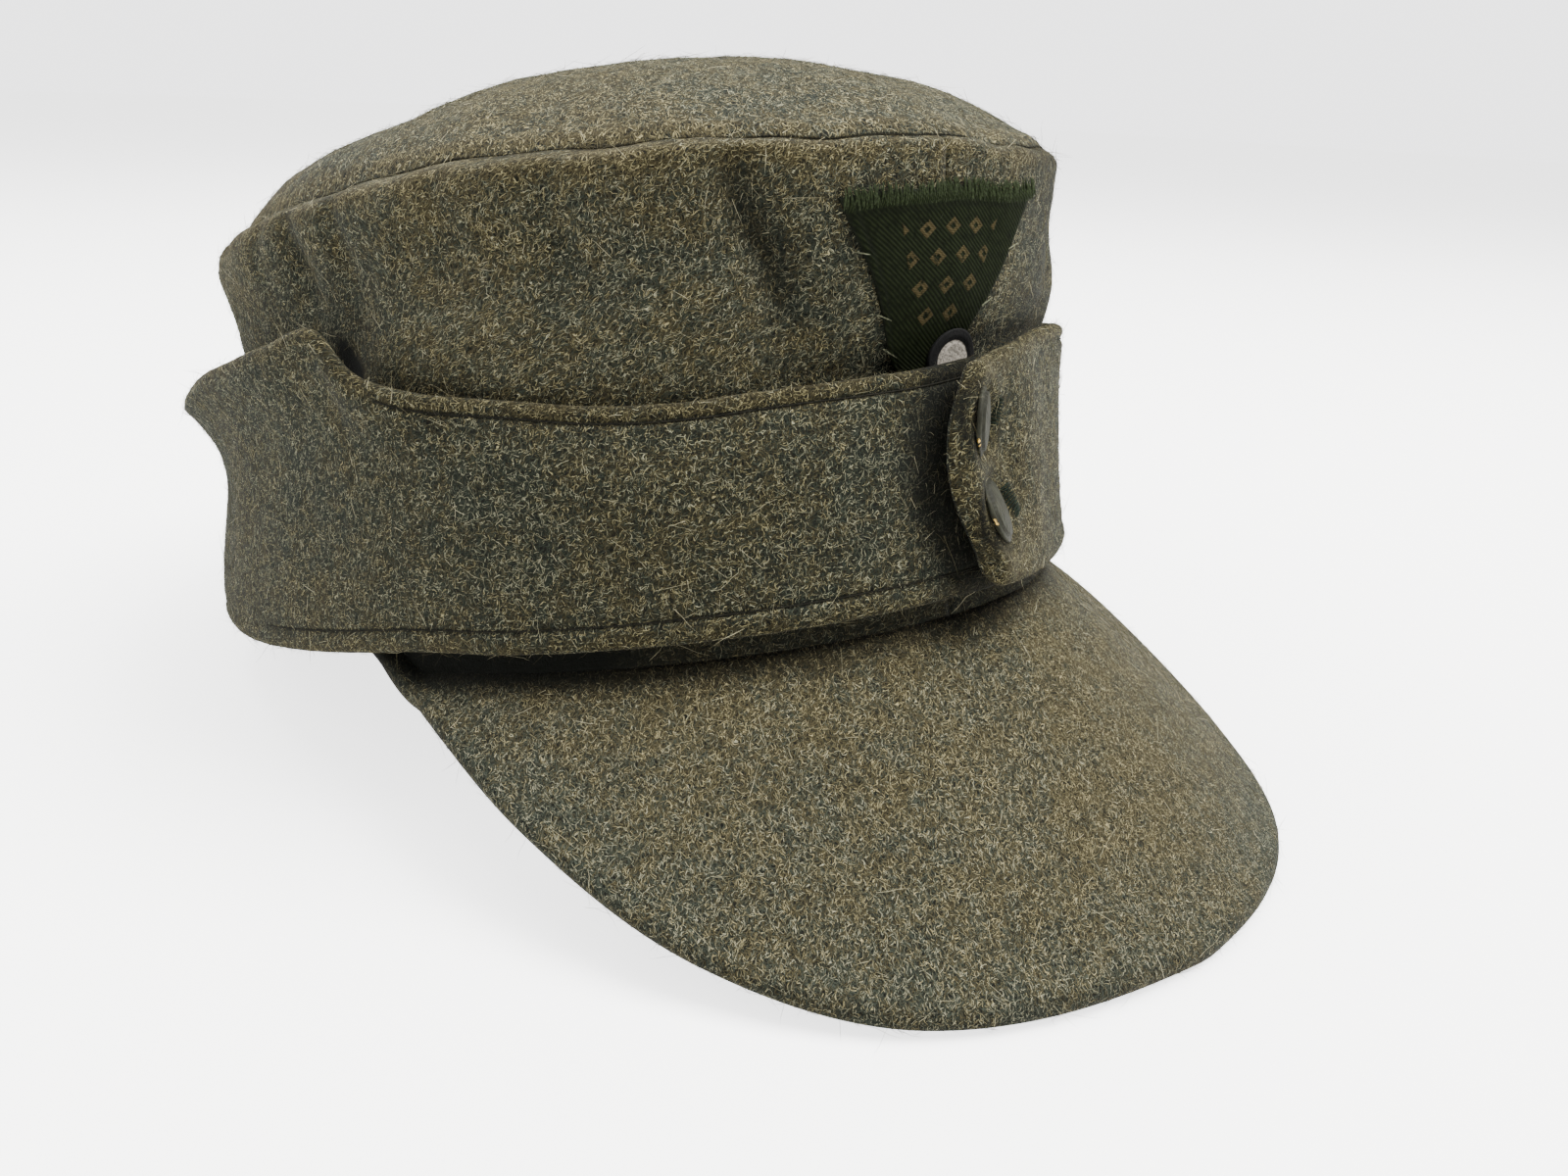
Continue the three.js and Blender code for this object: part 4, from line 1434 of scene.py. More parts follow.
def trace(grid: Array, distance: Array, at: Array) -> Array:
    """Returns a grid's values along a line that crosses every column once.

    Args:
        grid: values of three parts, rows by columns by 3.
        distance: what the line is measured in, rising or falling up each column.
        at: the line's distance at each column.
    """
    order = np.argsort(distance[:, 0])
    return np.array([
        [np.interp(at[column], distance[order, column], grid[order, column, axis])
         for axis in range(3)]
        for column in range(grid.shape[1])
    ])


def uneven(angle: Array) -> Array:
    """Returns how deep the top seam is drawn in round the head, from about 0.4 to 1."""
    turn = np.radians(angle)
    return 0.7 + 0.18 * np.sin(17 * turn + 0.8) + 0.12 * np.sin(41 * turn)


@dataclass
class Crown:
    """The crown: two side panels and the domed top panel."""

    cloth: float = 2.6
    front_seam: float = 4.0
    columns: int = 230
    top_columns: int = 320
    foot_height: float = -4.4
    foot_rise: float = 5.8
    foot_rise_span: Pair = (69, 77)
    mm_per_degree: float = 1.7
    seam_groove: Swell = Swell(0, 0.7, -0.75)
    seam_welt: Swell = Swell(2.6, 1.6, 0.45)
    front_groove: Swell = Swell(0, 0.8, -0.15)
    back_groove: Swell = Swell(0, 0.7, -0.5)
    back_welt: Swell = Swell(2.2, 1.4, 0.25)
    side_ripples: tuple[Ripple, ...] = (Ripple(0.55, 0.045, 3.1), Ripple(0.16, 0.22, 7.7))
    top_ripples: tuple[Ripple, ...] = (Ripple(0.5, 0.04, 11.3), Ripple(0.14, 0.2, 5.2))
    hole_rise: float = 1.13
    hole_from: Pair = (76.5, 51.0)
    hole_span: Plateau = Plateau(73, 76, 80, 84)
    finish: WoolFinish = WoolFinish(
        "crown_wool", cool=(0.0222, 0.0265, 0.0198), warm=(0.0435, 0.0368, 0.0178),
        pale=(0.27, 0.262, 0.17),
    )

    def foot(self, angle: Array) -> Array:
        """Returns the height of the band's lower edge."""
        return self.foot_height + self.foot_rise * smooth(np.abs(angle), *self.foot_rise_span)

    def side_heights(self, angle: Array) -> Array:
        """Returns the even heights of the side's rows, closest near the seam."""
        near = np.array([0.0, 0.25, 0.5, 0.8, 1.2, 1.7, 2.3, 3.0, 4.0, 5.2])
        top = (FORM.seam_height - near[::-1])[:, None] + 0 * angle
        share = np.linspace(0, 1, 52)[:-1, None]
        foot = self.foot(angle)[None, :]
        return np.concatenate([foot + (top[0] - foot) * share, top])

    def side(self, side: Side, material: Material) -> Piece:
        """Builds one side panel."""
        back, front = side.value * 179.96, self.front_seam + side.value * 0.05
        ends = (back, front) if side is Side.RIGHT else (front, back)
        angle = np.linspace(*ends, self.columns)
        height = self.side_heights(angle)
        wide = angle[None, :] + 0 * height
        near = FORM.seam_height - height
        to_front = np.abs(wide - self.front_seam) * self.mm_per_degree
        to_back = (180 - np.abs(wide)) * self.mm_per_degree
        sewn = uneven(wide)
        plain = FORM.crown(wide, height)
        broad, fine = (ripple.at(plain) for ripple in self.side_ripples)
        out = broad * smooth(height, 30, 60) + fine
        out += self.seam_groove.at(near) * sewn + self.seam_welt.at(near)
        out += self.front_groove.at(to_front) * smooth(height, 66, 72)
        out += self.back_groove.at(to_back) + self.back_welt.at(to_back)
        face = FORM.crown(wide, height, out)
        wear = 0.6 * bump(near, 2.2, 1.8) + 0.25 * smooth(height, 60, 76)
        nap = smooth(height, 0, 1) * (height > FORM.flap_height(side, wide) - 6)
        # painted shade: darker along the seams, behind the flaps, in creases and in the gap behind the
        # lobe
        groove = np.maximum.reduce([
            0.9 * sewn * bump(near, 0, 0.42), 0.7 * bump(to_back, 0, 0.4),
            *self.hollows(wide, height),
        ])
        wall = ClothWall(face, lay_of(face, 1000.0 * side.value), self.cloth,
                         masks={"groove": groove, "wear": wear, "nap": nap})
        name = f"crown_side_{side.name.lower()}"
        return dress(wall.mesh(name + "_cloth"), material, "crown_wool", name)

    def hollows(self, angle: Array, height: Array) -> list[Array]:
        """Returns the side's painted shade: behind the flaps, beside the patch, in creases and the
        gap.
        """
        away = np.abs(angle)
        behind = (0.75 + 0.35 * smooth(away, 32, 50)) * (1 - smooth(height, -1, 28))
        # painted shade on the strip of the side beside the patch
        in_front = 0.6 * bump(angle, -24, 12) * smooth(height, 40, 54)
        creased = FORM.fold_depth(angle, height, FORM.creases, FORM.crease_onset, (74, 79))
        # painted shade: the gap behind the lobe painted nearly black
        rising = height - self.hole_from[1] - self.hole_rise * (away - self.hole_from[0])
        hole = (1 - smooth(rising, -1.5, 1.5)) * self.hole_span.at(away)
        return [behind, in_front, 0.26 * creased, 1.3 * hole]

    def top(self, material: Material) -> Piece:
        """Builds the top panel."""
        angle = np.linspace(180, -180, self.top_columns, endpoint=False)
        inward = np.concatenate([
            np.array([0.0, 0.003, 0.006, 0.01, 0.016, 0.024, 0.034, 0.046]),
            np.linspace(0.06, 0.985, 44),
        ])
        wide, level = np.meshgrid(angle, inward)
        flat = FORM.dome(wide, level)
        near = np.linalg.norm(flat - flat[:1], axis=-1)
        sewn = uneven(wide)
        lift = sum(ripple.at(flat) for ripple in self.top_ripples) * smooth(near, 0, 8)
        lift += 0.4 * bump(near, 2.8, 1.8) - 0.45 * sewn * bump(near, 0, 0.7) + 0.1
        face = FORM.dome(wide, level, lift)
        # painted shade along the top seam
        masks = {"groove": sewn * bump(near, 0, 0.45), "wear": 0.5 * bump(near, 2.2, 2.0) + 0.25,
                 "nap": 0 * near + 1.0}
        wall = ClothWall(face, face[..., :2] + 3000.0, self.cloth, closed=True, crowned=True,
                         masks=masks)
        return dress(wall.mesh("crown_top_cloth"), material, "crown_wool", "crown_top")

    def build(self) -> list[Piece]:
        """Builds the crown's pieces and returns them."""
        material = self.finish.material()
        return [self.side(Side.RIGHT, material), self.side(Side.LEFT, material),
                self.top(material)]


@dataclass
class TurnUps:
    """The turned-up flaps, with a sewn hem above and a sewn fold below."""

    cloth: float = 3.0
    hem: Pair = (2.8, 2.2)
    fold: float = 5.0
    stitch_pitch: float = 3.1
    stitch: Stitch = Stitch(2.2, 0.14, 0.2)
    stitch_lift: float = 0.02
    least_shown: float = 0.6
    fine_ripple: Ripple = Ripple(0.15, 0.24, 2.4)
    lobe: Plateau = Plateau(82, 98, 140, 165)
    lobe_roll: float = 3.6
    lobe_roll_height: float = 5.2
    finish: WoolFinish = WoolFinish(
        "turn_up_wool", cool=(0.0152, 0.0187, 0.0138), warm=(0.0315, 0.0272, 0.0132),
        pale=(0.235, 0.23, 0.148),
    )
    thread: ThreadFinish = ThreadFinish("hem_thread", (0.009, 0.009, 0.006))

    def angles(self, side: Side, height: Array) -> Array:
        """Returns each column's angle, for rows at given heights."""
        if side is Side.RIGHT:
            spans = [np.linspace(179.95, 84, 90), np.linspace(83.4, 58, 48),
                     np.linspace(57.4, -1.2, 72), np.linspace(-1.2, -1.5, 7)[1:]]
            return np.concatenate(spans)[None, :] + 0 * height[:, :1]
        end = curve_through(FORM.over_end, "angle", height[:, :1])
        near = np.concatenate([[0, 0.003, 0.012, 0.03, 0.055, 0.085, 0.12, 0.16],
                               np.arange(0.21, 0.99, 0.05)])
        lapped = end + (-6 - end) * near[None, :]
        rest = np.concatenate([np.linspace(-6, -57.4, 72), np.linspace(-58, -83.4, 48),
                               np.linspace(-84, -179.95, 90)])
        return np.concatenate([lapped, rest[None, :] + 0 * height[:, :1]], axis=1)

    def levels(self, tall: Array) -> Array:
        """Returns the rows' levels on columns of a given height, closest along both edges."""
        roll = self.cloth / 2
        low = np.concatenate([[roll], np.arange(2.4, 7.6, 0.36)])
        high = np.concatenate([np.arange(6.0, 1.95, -0.3), [roll]])
        share = np.linspace(0, 1, 26)[1:-1]
        low_rows = low[:, None] + 0 * tall[None, :]
        high_rows = tall[None, :] - high[:, None]
        middle = low_rows[-1] + (high_rows[0] - low_rows[-1]) * share[:, None]
        return np.concatenate([low_rows, middle, high_rows]) / tall[None, :]

    def face(self, side: Side) -> tuple[Array, Array, Array, Array]:
        """Returns a flap's outer face, its angles, and the distances to both its edges."""
        guess = self.angles(side, np.full((1, 1), 22.0))[0]
        tall = FORM.flap_height(side, guess)
        level = self.levels(tall)
        angle = self.angles(side, (level * tall)[:, :1])
        tall = FORM.flap_height(side, angle)
        above, below = (1 - level) * tall, level * tall
        plain = FORM.flap(side, angle, level)
        broad = Ripple(0.5, 0.05, 21.0 + side.value)
        out = broad.at(plain) * smooth(above, 2, 12) + self.fine_ripple.at(plain)
        hem, hem_shown, fold_shown = self.sewn(side, angle)
        out -= hem_shown * (0.4 * bump(above, hem, 0.5) - 0.12 * bump(above, hem + 1.6, 1.2))
        out += 0.5 * bump(below, 2.4, 1.9) - 0.38 * fold_shown * bump(below, self.fold, 0.5)
        out += 0.15 * bump(below, self.fold + 2.6, 1.6)
        rolled = np.clip(1 - above / self.lobe_roll_height, 0, 1)
        out -= self.lobe_roll * self.lobe.at(np.abs(angle)) * (1 - np.sqrt(1 - rolled**2))
        return FORM.flap(side, angle, level, out), angle, above, below

    def sewn(self, side: Side, angle: Array) -> tuple[Array, Array, Array]:
        """Returns how far the hem's stitches lie from the edge, and how far both rows show."""
        away = np.abs(angle)
        hem = self.hem[1] + (self.hem[0] - self.hem[1]) * (1 - smooth(away, 14, 34))
        hem_shown = 1 - smooth(away, 62, 70) * (1 - smooth(away, 128, 142))
        fold_shown = 1 - 0.75 * smooth(away, 84, 100) * (1 - smooth(away, 128, 142))
        if side is Side.LEFT:
            plain = 1 - smooth(angle, -32, -14)
            return hem, hem_shown * plain, fold_shown * plain
        return hem, hem_shown, fold_shown

    def build_flap(self, side: Side, wool: Material,
                   thread: Material, sewing: Sewing) -> Piece:
        """Builds one flap and its two rows of stitches."""
        face, angle, above, below = self.face(side)
        hem, hem_shown, fold_shown = self.sewn(side, angle)
        # painted shade in the hem's and the fold's stitch grooves, and the painted shadows from
        # shade()
        groove = np.maximum(0.7 * hem_shown * bump(above, hem, 0.38),
                            0.6 * fold_shown * bump(below, self.fold, 0.34))
        groove = np.maximum(groove, self.shade(side, angle, below))
        wear = 0.9 * (1 - smooth(above, 0, hem + 1.5)) + 0.6 * (1 - smooth(below, 0, 5))
        near_front = smooth(angle, -16, 4) if side is Side.LEFT else 0 * angle
        wear = np.maximum(wear, 0.75 * near_front)
        masks = {"groove": groove, "wear": wear, "nap": 1.0 + 0 * above}
        ends = {"round_first": 1.0, "round_last": 1.6} if side is Side.RIGHT else {
            "round_first": 2.4, "round_last": 1.0}
        wall = ClothWall(face, lay_of(face, 5000.0 + 1000.0 * side.value), self.cloth,
                         roll_low=7, roll_high=7, masks=masks, **ends)
        name = side.name.lower()
        made = dress(wall.mesh(f"turn_up_{name}_cloth"), wool, "turn_up_wool",
                     f"turn_up_{name}")
        middle = len(face) // 2
        rows = (("hem", above, hem[middle], hem_shown[middle]),
                ("fold", below, self.fold + 0 * hem[middle], fold_shown[middle]))
        for row_name, distance, at, shown in rows:
            path = trace(face, distance, at)
            spots = even_columns(path, self.stitch_pitch)
            spots = spots[read_columns(shown, spots) > self.least_shown]
            out = read_columns(trace(grid_normals(face), distance, at), spots)
            points = read_columns(path, spots) + self.stitch_lift * out
            sewing.row(f"{row_name}_stitches_{name}", points, out,
                       read_columns(np.gradient(path, axis=0), spots), self.stitch, thread,
                       "turn_up_wool")
        return made

    def shade(self, side: Side, angle: Array, height: Array) -> Array:
        """Returns the painted shade: the shadow beside the lapped end, and round its buttons."""
        if side is Side.RIGHT:
            end = curve_through(FORM.over_end, "angle", height)
            # painted shadow cast by the lapped end onto the flap beneath it
            return 0.9 * (1 - smooth(angle - end, 0.6, 6.0))
        shaded = 0.0 * angle
        for press in FORM.presses:
            aside, _, off = FORM.from_button(press, angle, height)
            # painted shade round each button, stronger on one side
            facing = 0.5 + 0.5 * aside / np.maximum(off, 0.1)
            shaded = np.maximum(shaded, 1.1 * bump(off, 6.8, 0.95) * facing)
        return shaded

    def build(self, sewing: Sewing) -> list[Piece]:
        """Builds both flaps and returns them."""
        wool, thread = self.finish.material(), self.thread.material()
        return [self.build_flap(side, wool, thread, sewing) for side in Side]


@dataclass
class Peak:
    """The stiff peak, covered in wool."""

    thickness: float = 4.4
    columns: int = 220
    round_ends: float = 4.0
    ripples: tuple[Ripple, ...] = (Ripple(0.3, 0.04, 31.0), Ripple(0.12, 0.22, 9.0))
    welt: Swell = Swell(3.0, 1.6, 0.25)
    finish: WoolFinish = WoolFinish(
        "peak_wool", cool=(0.024, 0.028, 0.0208), warm=(0.0435, 0.037, 0.0185),
        pale=(0.25, 0.24, 0.16),
    )

    def build(self) -> Piece:
        """Builds the peak and returns it."""
        end = FORM.ribs[-1].angle
        angle = end * np.sin(np.linspace(1, -1, self.columns) * np.pi / 2)
        reach = FORM.reach(angle)
        roll = np.minimum(self.thickness / 2, reach * 0.3)
        fine = np.array([0.0, 0.5, 1.0, 1.6, 2.3, 3.2, 4.4])
        share = np.linspace(0, 1, 46)
        inner = np.minimum(fine[:, None], reach[None, :] * 0.06 * np.arange(len(fine))[:, None])
        start = roll[None, :] + inner
        rest = start[-1] + (reach - start[-1])[None, :] * share[1:, None]
        off = np.concatenate([start, rest])
        wide = angle[None, :] + 0 * off
        back = reach[None, :] - off
        plain = FORM.peak(wide, back)
        lift = sum(ripple.at(plain) for ripple in self.ripples)
        lift = lift * smooth(off, 2, 10) * smooth(back, 0, 6) + self.welt.at(off)
        face = plain + grid_normals(plain) * lift[..., None]
        beside = smooth(np.abs(wide), 30, 55)
        # painted shadow under the curtain at the peak's root, and painted shade along its outer edge
        groove = (0.6 + 0.4 * beside) * (1 - smooth(back, 1.0, 8.0 - 2.0 * beside))
        groove = np.maximum(groove, 0.3 * (1 - smooth(off, 0, 5)))
        masks = {"groove": groove, "wear": 0.45 * smooth(off, 2, 24), "nap": smooth(back, 3, 6)}
        plan = FORM.peak(wide, 0 * wide)[..., :2]
        turn = FORM.heading(wide)
        lay = plan - back[..., None] * np.stack([np.sin(turn), np.cos(turn)], axis=-1)
        wall = ClothWall(face, lay + 8000.0, self.thickness, roll_low=7, masks=masks,
                         round_first=self.round_ends, round_last=self.round_ends)
        return dress(wall.mesh("peak_cover"), self.finish.material(), "peak_wool", "peak")


@dataclass
class Patch:
    """The badge patch on the crown front, whipped down round its edges, and its cockade."""

    thickness: float = 0.8
    stand_off: float = 0.55
    low: Point = (32.5, 8.8, 2.0)
    high: Point = (70.0, 26.5, -17.5)
    high_corner: float = 2.2
    hollow_side: float = 1.5
    columns: int = 64
    rows: int = 60
    tall: float = 38.0
    wide: float = 34.0
    ripple: Ripple = Ripple(0.25, 0.12, 41.0)
    whip_levels: tuple[tuple[float, ...], ...] = ((0.5, 0.74), (0.32, 0.48, 0.76))
    whip_stitch: Stitch = Stitch(1.3, 0.08, 0.2)
    fray_stitch: Stitch = Stitch(1.25, 0.07, 0.2)
    fray_count: int = 150
    cockade_at: Pair = (0.9, 42.0)
    cockade_radius: float = 5.7
    finish: TwillFinish = TwillFinish()
    cockade_finish: CockadeFinish = CockadeFinish()
    thread: ThreadFinish = ThreadFinish("patch_thread", (0.09, 0.095, 0.06))
    fray: ThreadFinish = ThreadFinish("fray_thread", (0.021, 0.029, 0.0125))

    def sides_at(self, level: Array) -> tuple[Array, Array]:
        """Returns how far right of the cap's middle the patch's left and right sides lie."""
        left = self.low[2] + (self.high[2] - self.low[2]) * level**self.hollow_side
        return left, self.low[1] + (self.high[1] - self.low[1]) * level

    def face(self, across: Array, level: Array, outward: Array = 0.0) -> Array:
        """Returns the patch's face; across is 0 at the wearer's left edge and level 0 low."""
        top = self.high[0] + self.high_corner * (1 - across)
        height = self.low[0] + (top - self.low[0]) * level
        left, right = self.sides_at(level)
        angle = FORM.angle_across(left + (right - left) * across, height)
        return FORM.crown(angle, height, self.stand_off + self.thickness + outward)

    def build(self, sewing: Sewing) -> None:
        """Builds the patch, its whip stitches and the cockade."""
        across, level = np.meshgrid(np.linspace(1, 0, self.columns),
                                    np.linspace(0, 1, self.rows))
        down, in_right = (1 - level) * self.tall, (1 - across) * self.wide
        edge = np.minimum(np.minimum(across, 1 - across) * 40, down)
        plain = self.face(across, level)
        out = self.ripple.at(plain) - 0.35 * (1 - smooth(edge, 0, 1.1))
        out += 0.25 * bump(down, 1.8, 1.0) - 0.25 * bump(down, 2.9, 0.4)
        out -= 0.25 * bump(in_right, 1.8, 0.4)
        # painted shade at the patch's edges, under its top strip and along its stitched side
        groove = np.maximum.reduce([
            1 - smooth(edge, 0.1, 0.8), 0.8 * bump(down, 2.9, 0.3),
            0.8 * bump(in_right, 1.8, 0.3),
        ])
        wall = ClothWall(self.face(across, level, out), self.weave(across, level),
                         self.thickness, masks={"groove": groove})
        dress(wall.mesh("badge_patch_twill"), self.finish.material(), "patch_twill",
              "badge_patch")
        self.whip(sewing)
        self.cockade()

    def weave(self, across: Array, level: Array) -> Array:
        """Returns how far each point lies from the patch's middle, and from its lower edge."""
        left, right = self.sides_at(level)
        sideways = left + (right - left) * across - (left + right) / 2
        return np.stack([sideways, (self.high[0] - self.low[0]) * level], axis=-1)

    def whip(self, sewing: Sewing) -> None:
        """Sews a few stitches over the patch's sides, and frays the ends along its top."""
        rng = np.random.default_rng(7)
        points, ahead = [], []
        for across in (1.0, 0.0):
            level = np.array(self.whip_levels[int(across)])
            edge = self.face(np.full(len(level), across), level, 0.05)
            inside = self.face(np.full(len(level), abs(across - 0.05)), level, 0.05)
            points.append(edge)
            ahead.append(edge - inside + np.array([0, 0, 0.5]))
        count = self.fray_count
        across = np.sort(rng.uniform(0.01, 0.99, count))
        edge = self.face(across, 0.985 + rng.uniform(-0.012, 0.012, count), -0.05)
        lean = np.stack([rng.uniform(-0.4, 0.4, count), 0 * across, 1 + 0 * across], axis=-1)
        rows = (("patch_stitches", np.concatenate(points), np.concatenate(ahead),
                 self.whip_stitch, self.thread),
                ("patch_fray", edge, lean, self.fray_stitch, self.fray))
        for name, spots, along, stitch, finish in rows:
            out = unit(spots * np.array([0.6, 1.0, 0.0]))
            sewing.row(name, spots, out, along, stitch, finish.material(), "patch_twill")

    def on_crown(self, sideways: Array, up: Array, lift: Array) -> Array:
        """Returns points on the crown's front, lifted off it."""
        return FORM.crown(FORM.angle_across(sideways, up), up, lift)

    def cockade(self) -> None:
        """Builds the woven disc at the patch's foot."""
        aside, height = self.cockade_at
        rings, sides, rise, depth = 16, 48, 0.85, 0.5
        base = 0.1 + self.stand_off + self.thickness
        out = np.linspace(0, 1, rings + 1)[1:]
        turn = np.linspace(0, 2 * np.pi, sides, endpoint=False)
        share, angle = np.meshgrid(out, turn, indexing="ij")
        lift = 0.5 + 0.35 * (1 - share**4) - 0.3 * bump(share, 0.65, 0.05)
        lift += 0.05 * np.sin(share * 40)
        sideways = aside + share * self.cockade_radius * np.cos(angle)
        up = height + share * self.cockade_radius * np.sin(angle)
        middle = np.array([aside]), np.array([height])
        points = np.concatenate([
            self.on_crown(sideways, up, base + lift).reshape(-1, 3),
            self.on_crown(sideways[-1], up[-1], base - depth),
            self.on_crown(*middle, base + rise), self.on_crown(*middle, base - depth),
        ])
        made = new_object("cockade", FORM.to_row(points), round_faces(rings + 1, sides))
        store(made, "out", np.concatenate([share.ravel(), np.ones(sides), [0.0, 1.0]]))
        dress(made, self.cockade_finish.material(), "patch_twill")


@dataclass
class Buttons:
    """The two painted buttons on the lapped end, and the buttonhole stitching beside them."""

    radius: float = 6.1
    rim: float = 0.75
    dome: float = 1.1
    sides: int = 64
    clearance: float = 0.05
    chip_at: float = 205.0
    hole_pitch: float = 0.55
    finish: PaintFinish = PaintFinish()
    thread: ThreadFinish = ThreadFinish("buttonhole_thread", (0.005, 0.009, 0.005))

    def place(self, angle: float, height: float) -> tuple[Array, Array, Array]:
        """Returns a place on the lapped end, the way out of it and the way up it."""
        spot = np.array([[angle + 0.3, angle, angle - 0.3]] * 3)
        level = np.array([[-0.01], [0.0], [0.01]]) + height / FORM.flap_height(
            Side.LEFT, np.array(angle))
        grid = FORM.flap(Side.LEFT, spot, level + 0 * spot)
        up = grid[2, 1] - grid[0, 1]
        return grid[1, 1], grid_normals(grid)[1, 1], up / np.linalg.norm(up)

    def button(self, name: str, angle: float, height: float,
               material: Material) -> None:
        """Builds one button.

        Args:
            name: the solid that it stands for.
            angle: where round the head it sits.
            height: how high above the rim.
            material: its finish.
        """
        spot, out, up = self.place(angle, height)
        aside = np.cross(up, out)
        edge = self.radius
        profile = [(edge - 0.7, 0.0), (edge - 0.2, 0.15), (edge, 0.5),
                   (edge - 0.03, self.rim - 0.1), (edge - 0.2, self.rim + 0.1),
                   (edge - 0.55, self.rim + 0.16), (edge - 0.95, self.rim + 0.08)]
        for part in np.linspace(0.82, 0.08, 12):
            profile.append((edge * part, self.rim + self.dome * math.sqrt(1 - part**2) * 0.98))
        turns = np.linspace(0, 2 * np.pi, self.sides, endpoint=False)
        rings = [spot + out * (self.clearance + rise)
                 + r * (np.cos(turns)[:, None] * aside + np.sin(turns)[:, None] * up)
                 for r, rise in profile]
        tips = [spot + out * (self.clearance + rise) for rise in (0.0, self.rim + self.dome)]
        made = new_object(name + "_painted", FORM.to_row(np.concatenate([*rings, tips])),
                          round_faces(len(rings), self.sides))
        outs = np.array([r for r, _ in profile]).repeat(self.sides)
        around = np.tile(np.degrees(turns), len(rings))
        chip = bump(outs, edge, 0.35) * bump(around, self.chip_at, 16)
        # painted shade in the groove inside the rim
        groove = 0.8 * bump(outs, edge - 1.0, 0.25)
        store(made, "chip", np.concatenate([chip, [0, 0]]))
        store(made, "groove", np.concatenate([groove, [0, 0]]))
        dress(made, material, "painted_metal", name)

    def hole(self, sewing: Sewing, name: str, start: Pair, end: Pair, stitch: Stitch,
             material: Material) -> None:
        """Sews the close stitches of one buttonhole's end.

        Args:
            sewing: what sews them.
            name: the piece's name.
            start: the angle and height of the first stitch.
            end: those of the last one.
            stitch: the stitches' size.
            material: the thread's finish.
        """
        count = max(4, int(math.dist(start, end) / self.hole_pitch) + 1)
        spots, outs = [], []
        for part in np.linspace(0, 1, count):
            spot, out, _ = self.place(start[0] + (end[0] - start[0]) * part,
                                      start[1] + (end[1] - start[1]) * part)
            spots.append(spot + self.clearance * out)
            outs.append(out)
        points, out = np.array(spots), np.array(outs)
        along = np.cross(out, np.gradient(points, axis=0))
        sewing.row(name, points, out, along, stitch, material, "turn_up_wool")

    def build(self, sewing: Sewing) -> None:
        """Builds the buttons and sews their holes."""
        paint, thread = self.finish.material(), self.thread.material()
        for name, press in zip(("button_upper", "button_lower"), FORM.presses):
            self.button(name, press.angle, press.height, paint)
        self.hole(sewing, "buttonhole_upper", (-1.4, 33.6), (-0.7, 29.6),
                  Stitch(0.8, 0.2, 0.22), thread)
        self.hole(sewing, "buttonhole_lower", (-1.5, 17.8), (-3.0, 12.8),
                  Stitch(1.1, 0.2, 0.22), thread)


@dataclass
class Nap:
    """The loose fibres that stand off the wool."""

    length: float = 1.9
    longest: float = 7.0
    radius: float = 0.03
    budget: int = 29000
    lift: float = 0.35
    curl: float = 0.6
    curl_scale: float = 480.0
    finish: FibreFinish = FibreFinish()

    def build(self, hosts: Sequence[Piece]) -> None:
        """Grows fibres on each cloth piece, equally close on all."""
        tree, material = fibre_tree(), self.finish.material()
        density = self.budget / sum(self.napped_area(host) for host in hosts)
        for seed, host in enumerate(hosts):
            made = tree.grow(host.name.rsplit("_", 1)[0] + "_fibres", host, {
                "Density": density, "Length": self.length * MM, "Longest": self.longest * MM,
                "Radius": self.radius * MM, "Lift": self.lift, "Curl": self.curl * MM,
                "Curl Scale": self.curl_scale, "Seed": seed + 1, "Material": material,
            })
            for layer in ("nap", "wear", "groove", "lay"):
                if layer in made.data.attributes:
                    made.data.attributes.remove(made.data.attributes[layer])
            dress(made, material, host["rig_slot"])

    @staticmethod
    def napped_area(host: Piece) -> float:
        """Returns the area of a piece's napped faces, in square metres."""
        mesh = host.data
        values = np.zeros(len(mesh.vertices), dtype=np.float32)
        mesh.attributes["nap"].data.foreach_get("value", values)
        return sum(
            poly.area * float(values[list(poly.vertices)].mean()) for poly in mesh.polygons
        )


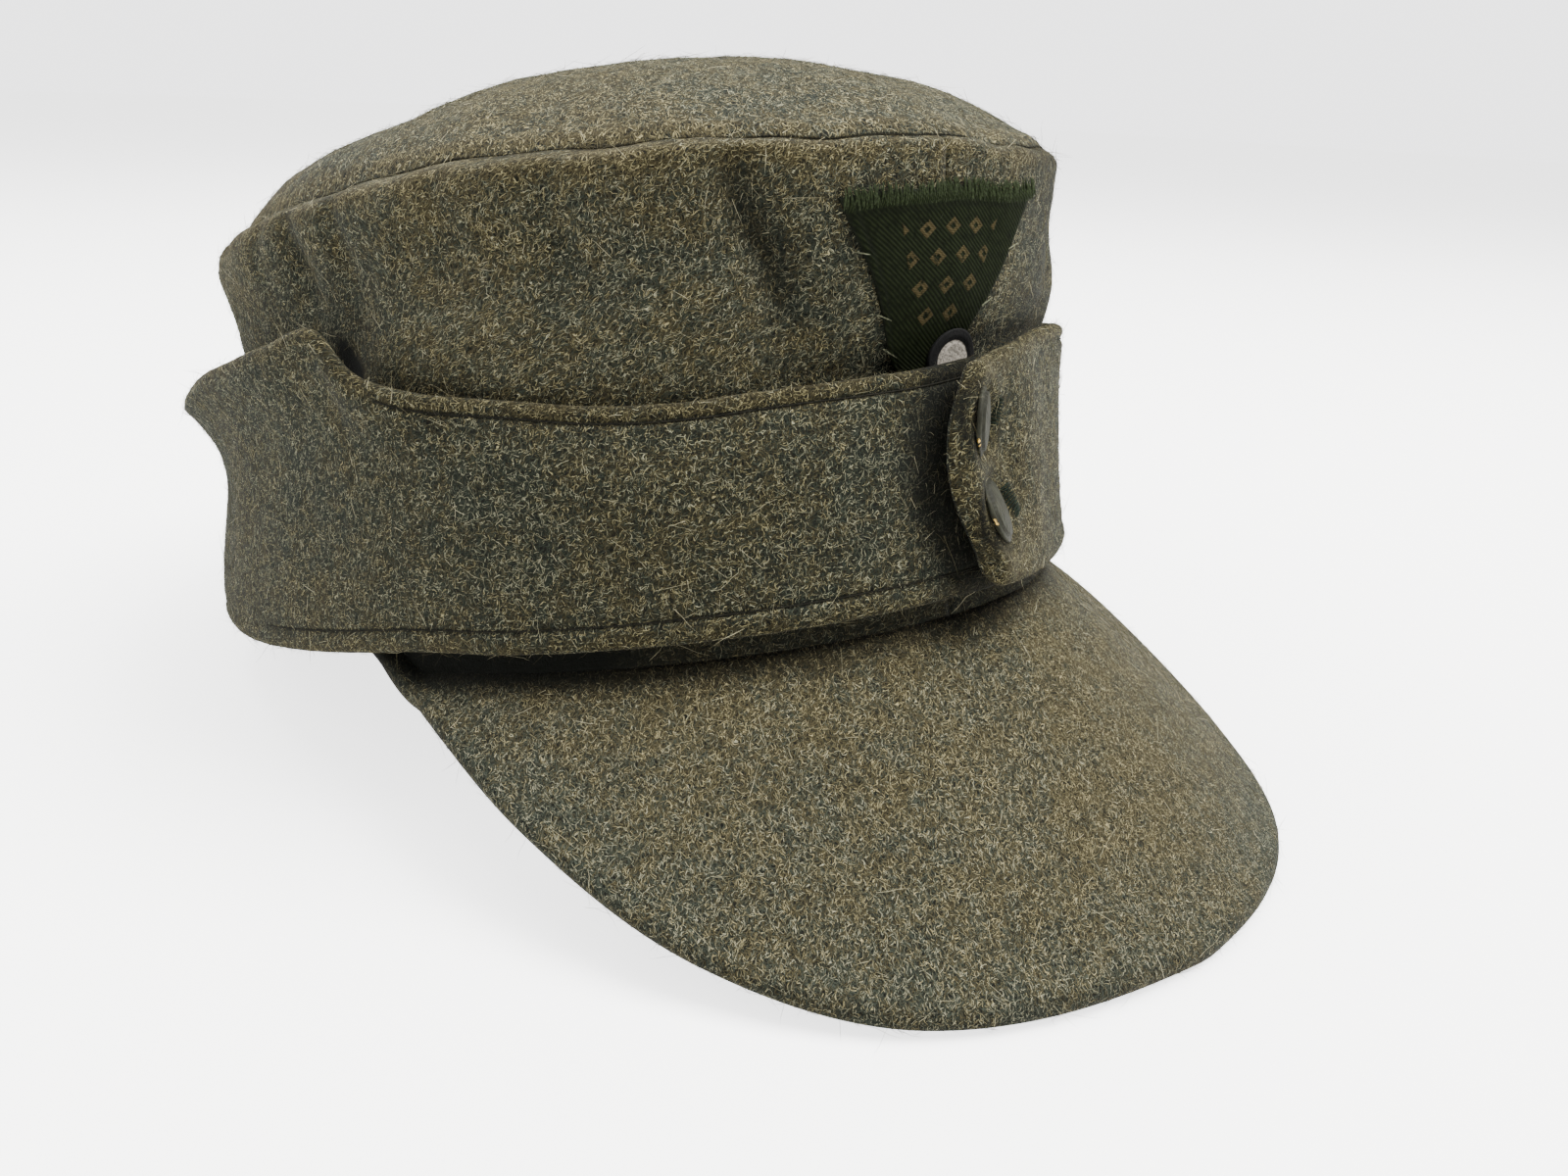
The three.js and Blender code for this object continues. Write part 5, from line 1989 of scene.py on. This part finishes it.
@dataclass
class Studio:
    """A pale floor, soft lights and the camera at the photograph's place."""

    lens: float = 29.23
    sensor: float = 36.0
    camera_at: Point = (-0.170833, -0.216895, 0.130675)
    heading: float = 42.098
    pitch: float = -21.24
    roll: float = 2.709
    lit_height: float = 0.06
    floor_half: float = 6.0
    floor_colour: Colour = (0.86, 0.86, 0.85)
    floor_glow: Pair = (0.0, 2.6)
    air_colour: Colour = (0.99, 0.99, 1.0)
    air_glow: Pair = (0.46, 3.1)
    warm_light: Colour = (1.0, 0.99, 0.97)

    def camera(self) -> None:
        """Makes the camera."""
        data = bpy.data.cameras.new("camera")
        data.lens, data.sensor_width = self.lens, self.sensor
        data.clip_start, data.clip_end = 0.01, 50.0
        made = add_object("camera", data)
        turn = Matrix.Rotation(math.radians(-self.heading), 4, "Z")
        tip = Matrix.Rotation(math.radians(90 + self.pitch), 4, "X")
        lean = Matrix.Rotation(math.radians(self.roll), 4, "Z")
        made.matrix_world = Matrix.Translation(Vector(self.camera_at)) @ turn @ tip @ lean
        bpy.context.scene.camera = made

    def light(self, name: str, place: Point, size: float, power: float,
              colour: Colour) -> None:
        """Makes one soft square light that faces the cap.

        Args:
            name: its name.
            place: where it stands.
            size: how wide it is.
            power: how strong it is.
            colour: its colour.
        """
        data = bpy.data.lights.new(name, "AREA")
        data.size, data.energy, data.color = size, power, colour
        made = add_object(name, data)
        made.location = place
        away = Vector((0.0, 0.0, self.lit_height)) - Vector(place)
        made.rotation_mode = "QUATERNION"
        made.rotation_quaternion = away.to_track_quat("-Z", "Y")

    def floor(self) -> None:
        """Makes the pale floor."""
        size = self.floor_half
        corners = [(-size, -size, 0), (size, -size, 0), (size, size, 0), (-size, size, 0)]
        mesh = bpy.data.meshes.new("floor")
        mesh.from_pydata(corners, [], [(0, 1, 2, 3)])
        made = add_object("floor", mesh)
        material, draft, shader = new_material("floor_paper")
        draft.put(shader, {
            "Emission Strength": draft.seen(*self.floor_glow),
            "Emission Color": (1.0, 1.0, 1.0), "Base Color": self.floor_colour,
            "Roughness": 0.9,
        })
        mesh.materials.append(material)

    def build(self) -> None:
        """Makes the floor, the lights, the pale surroundings and the camera."""
        self.floor()
        self.light("key", (0.42, -0.5, 1.2), 0.8, 52.0, self.warm_light)
        self.light("left", (-0.85, 0.55, 0.85), 0.9, 17.0, self.warm_light)
        self.light("top", (0.1, 0.3, 1.3), 1.2, 36.0, (1.0, 1.0, 1.0))
        world = bpy.data.worlds.new("studio")
        world.use_nodes = True
        draft = Draft(world.node_tree)
        draft.put(world.node_tree.nodes["Background"],
                  {"Color": self.air_colour, "Strength": draft.seen(*self.air_glow)})
        bpy.context.scene.world = world
        self.camera()


def main() -> None:
    """Builds the studio and the cap, piece by piece."""
    logging.basicConfig(level=logging.INFO, format="%(name)s %(message)s")
    Studio().build()
    sewing = Sewing()
    cloth = Crown().build() + TurnUps().build(sewing) + [Peak().build()]
    Patch().build(sewing)
    Buttons().build(sewing)
    Nap().build(cloth)


if __name__ == "__main__":
    main()
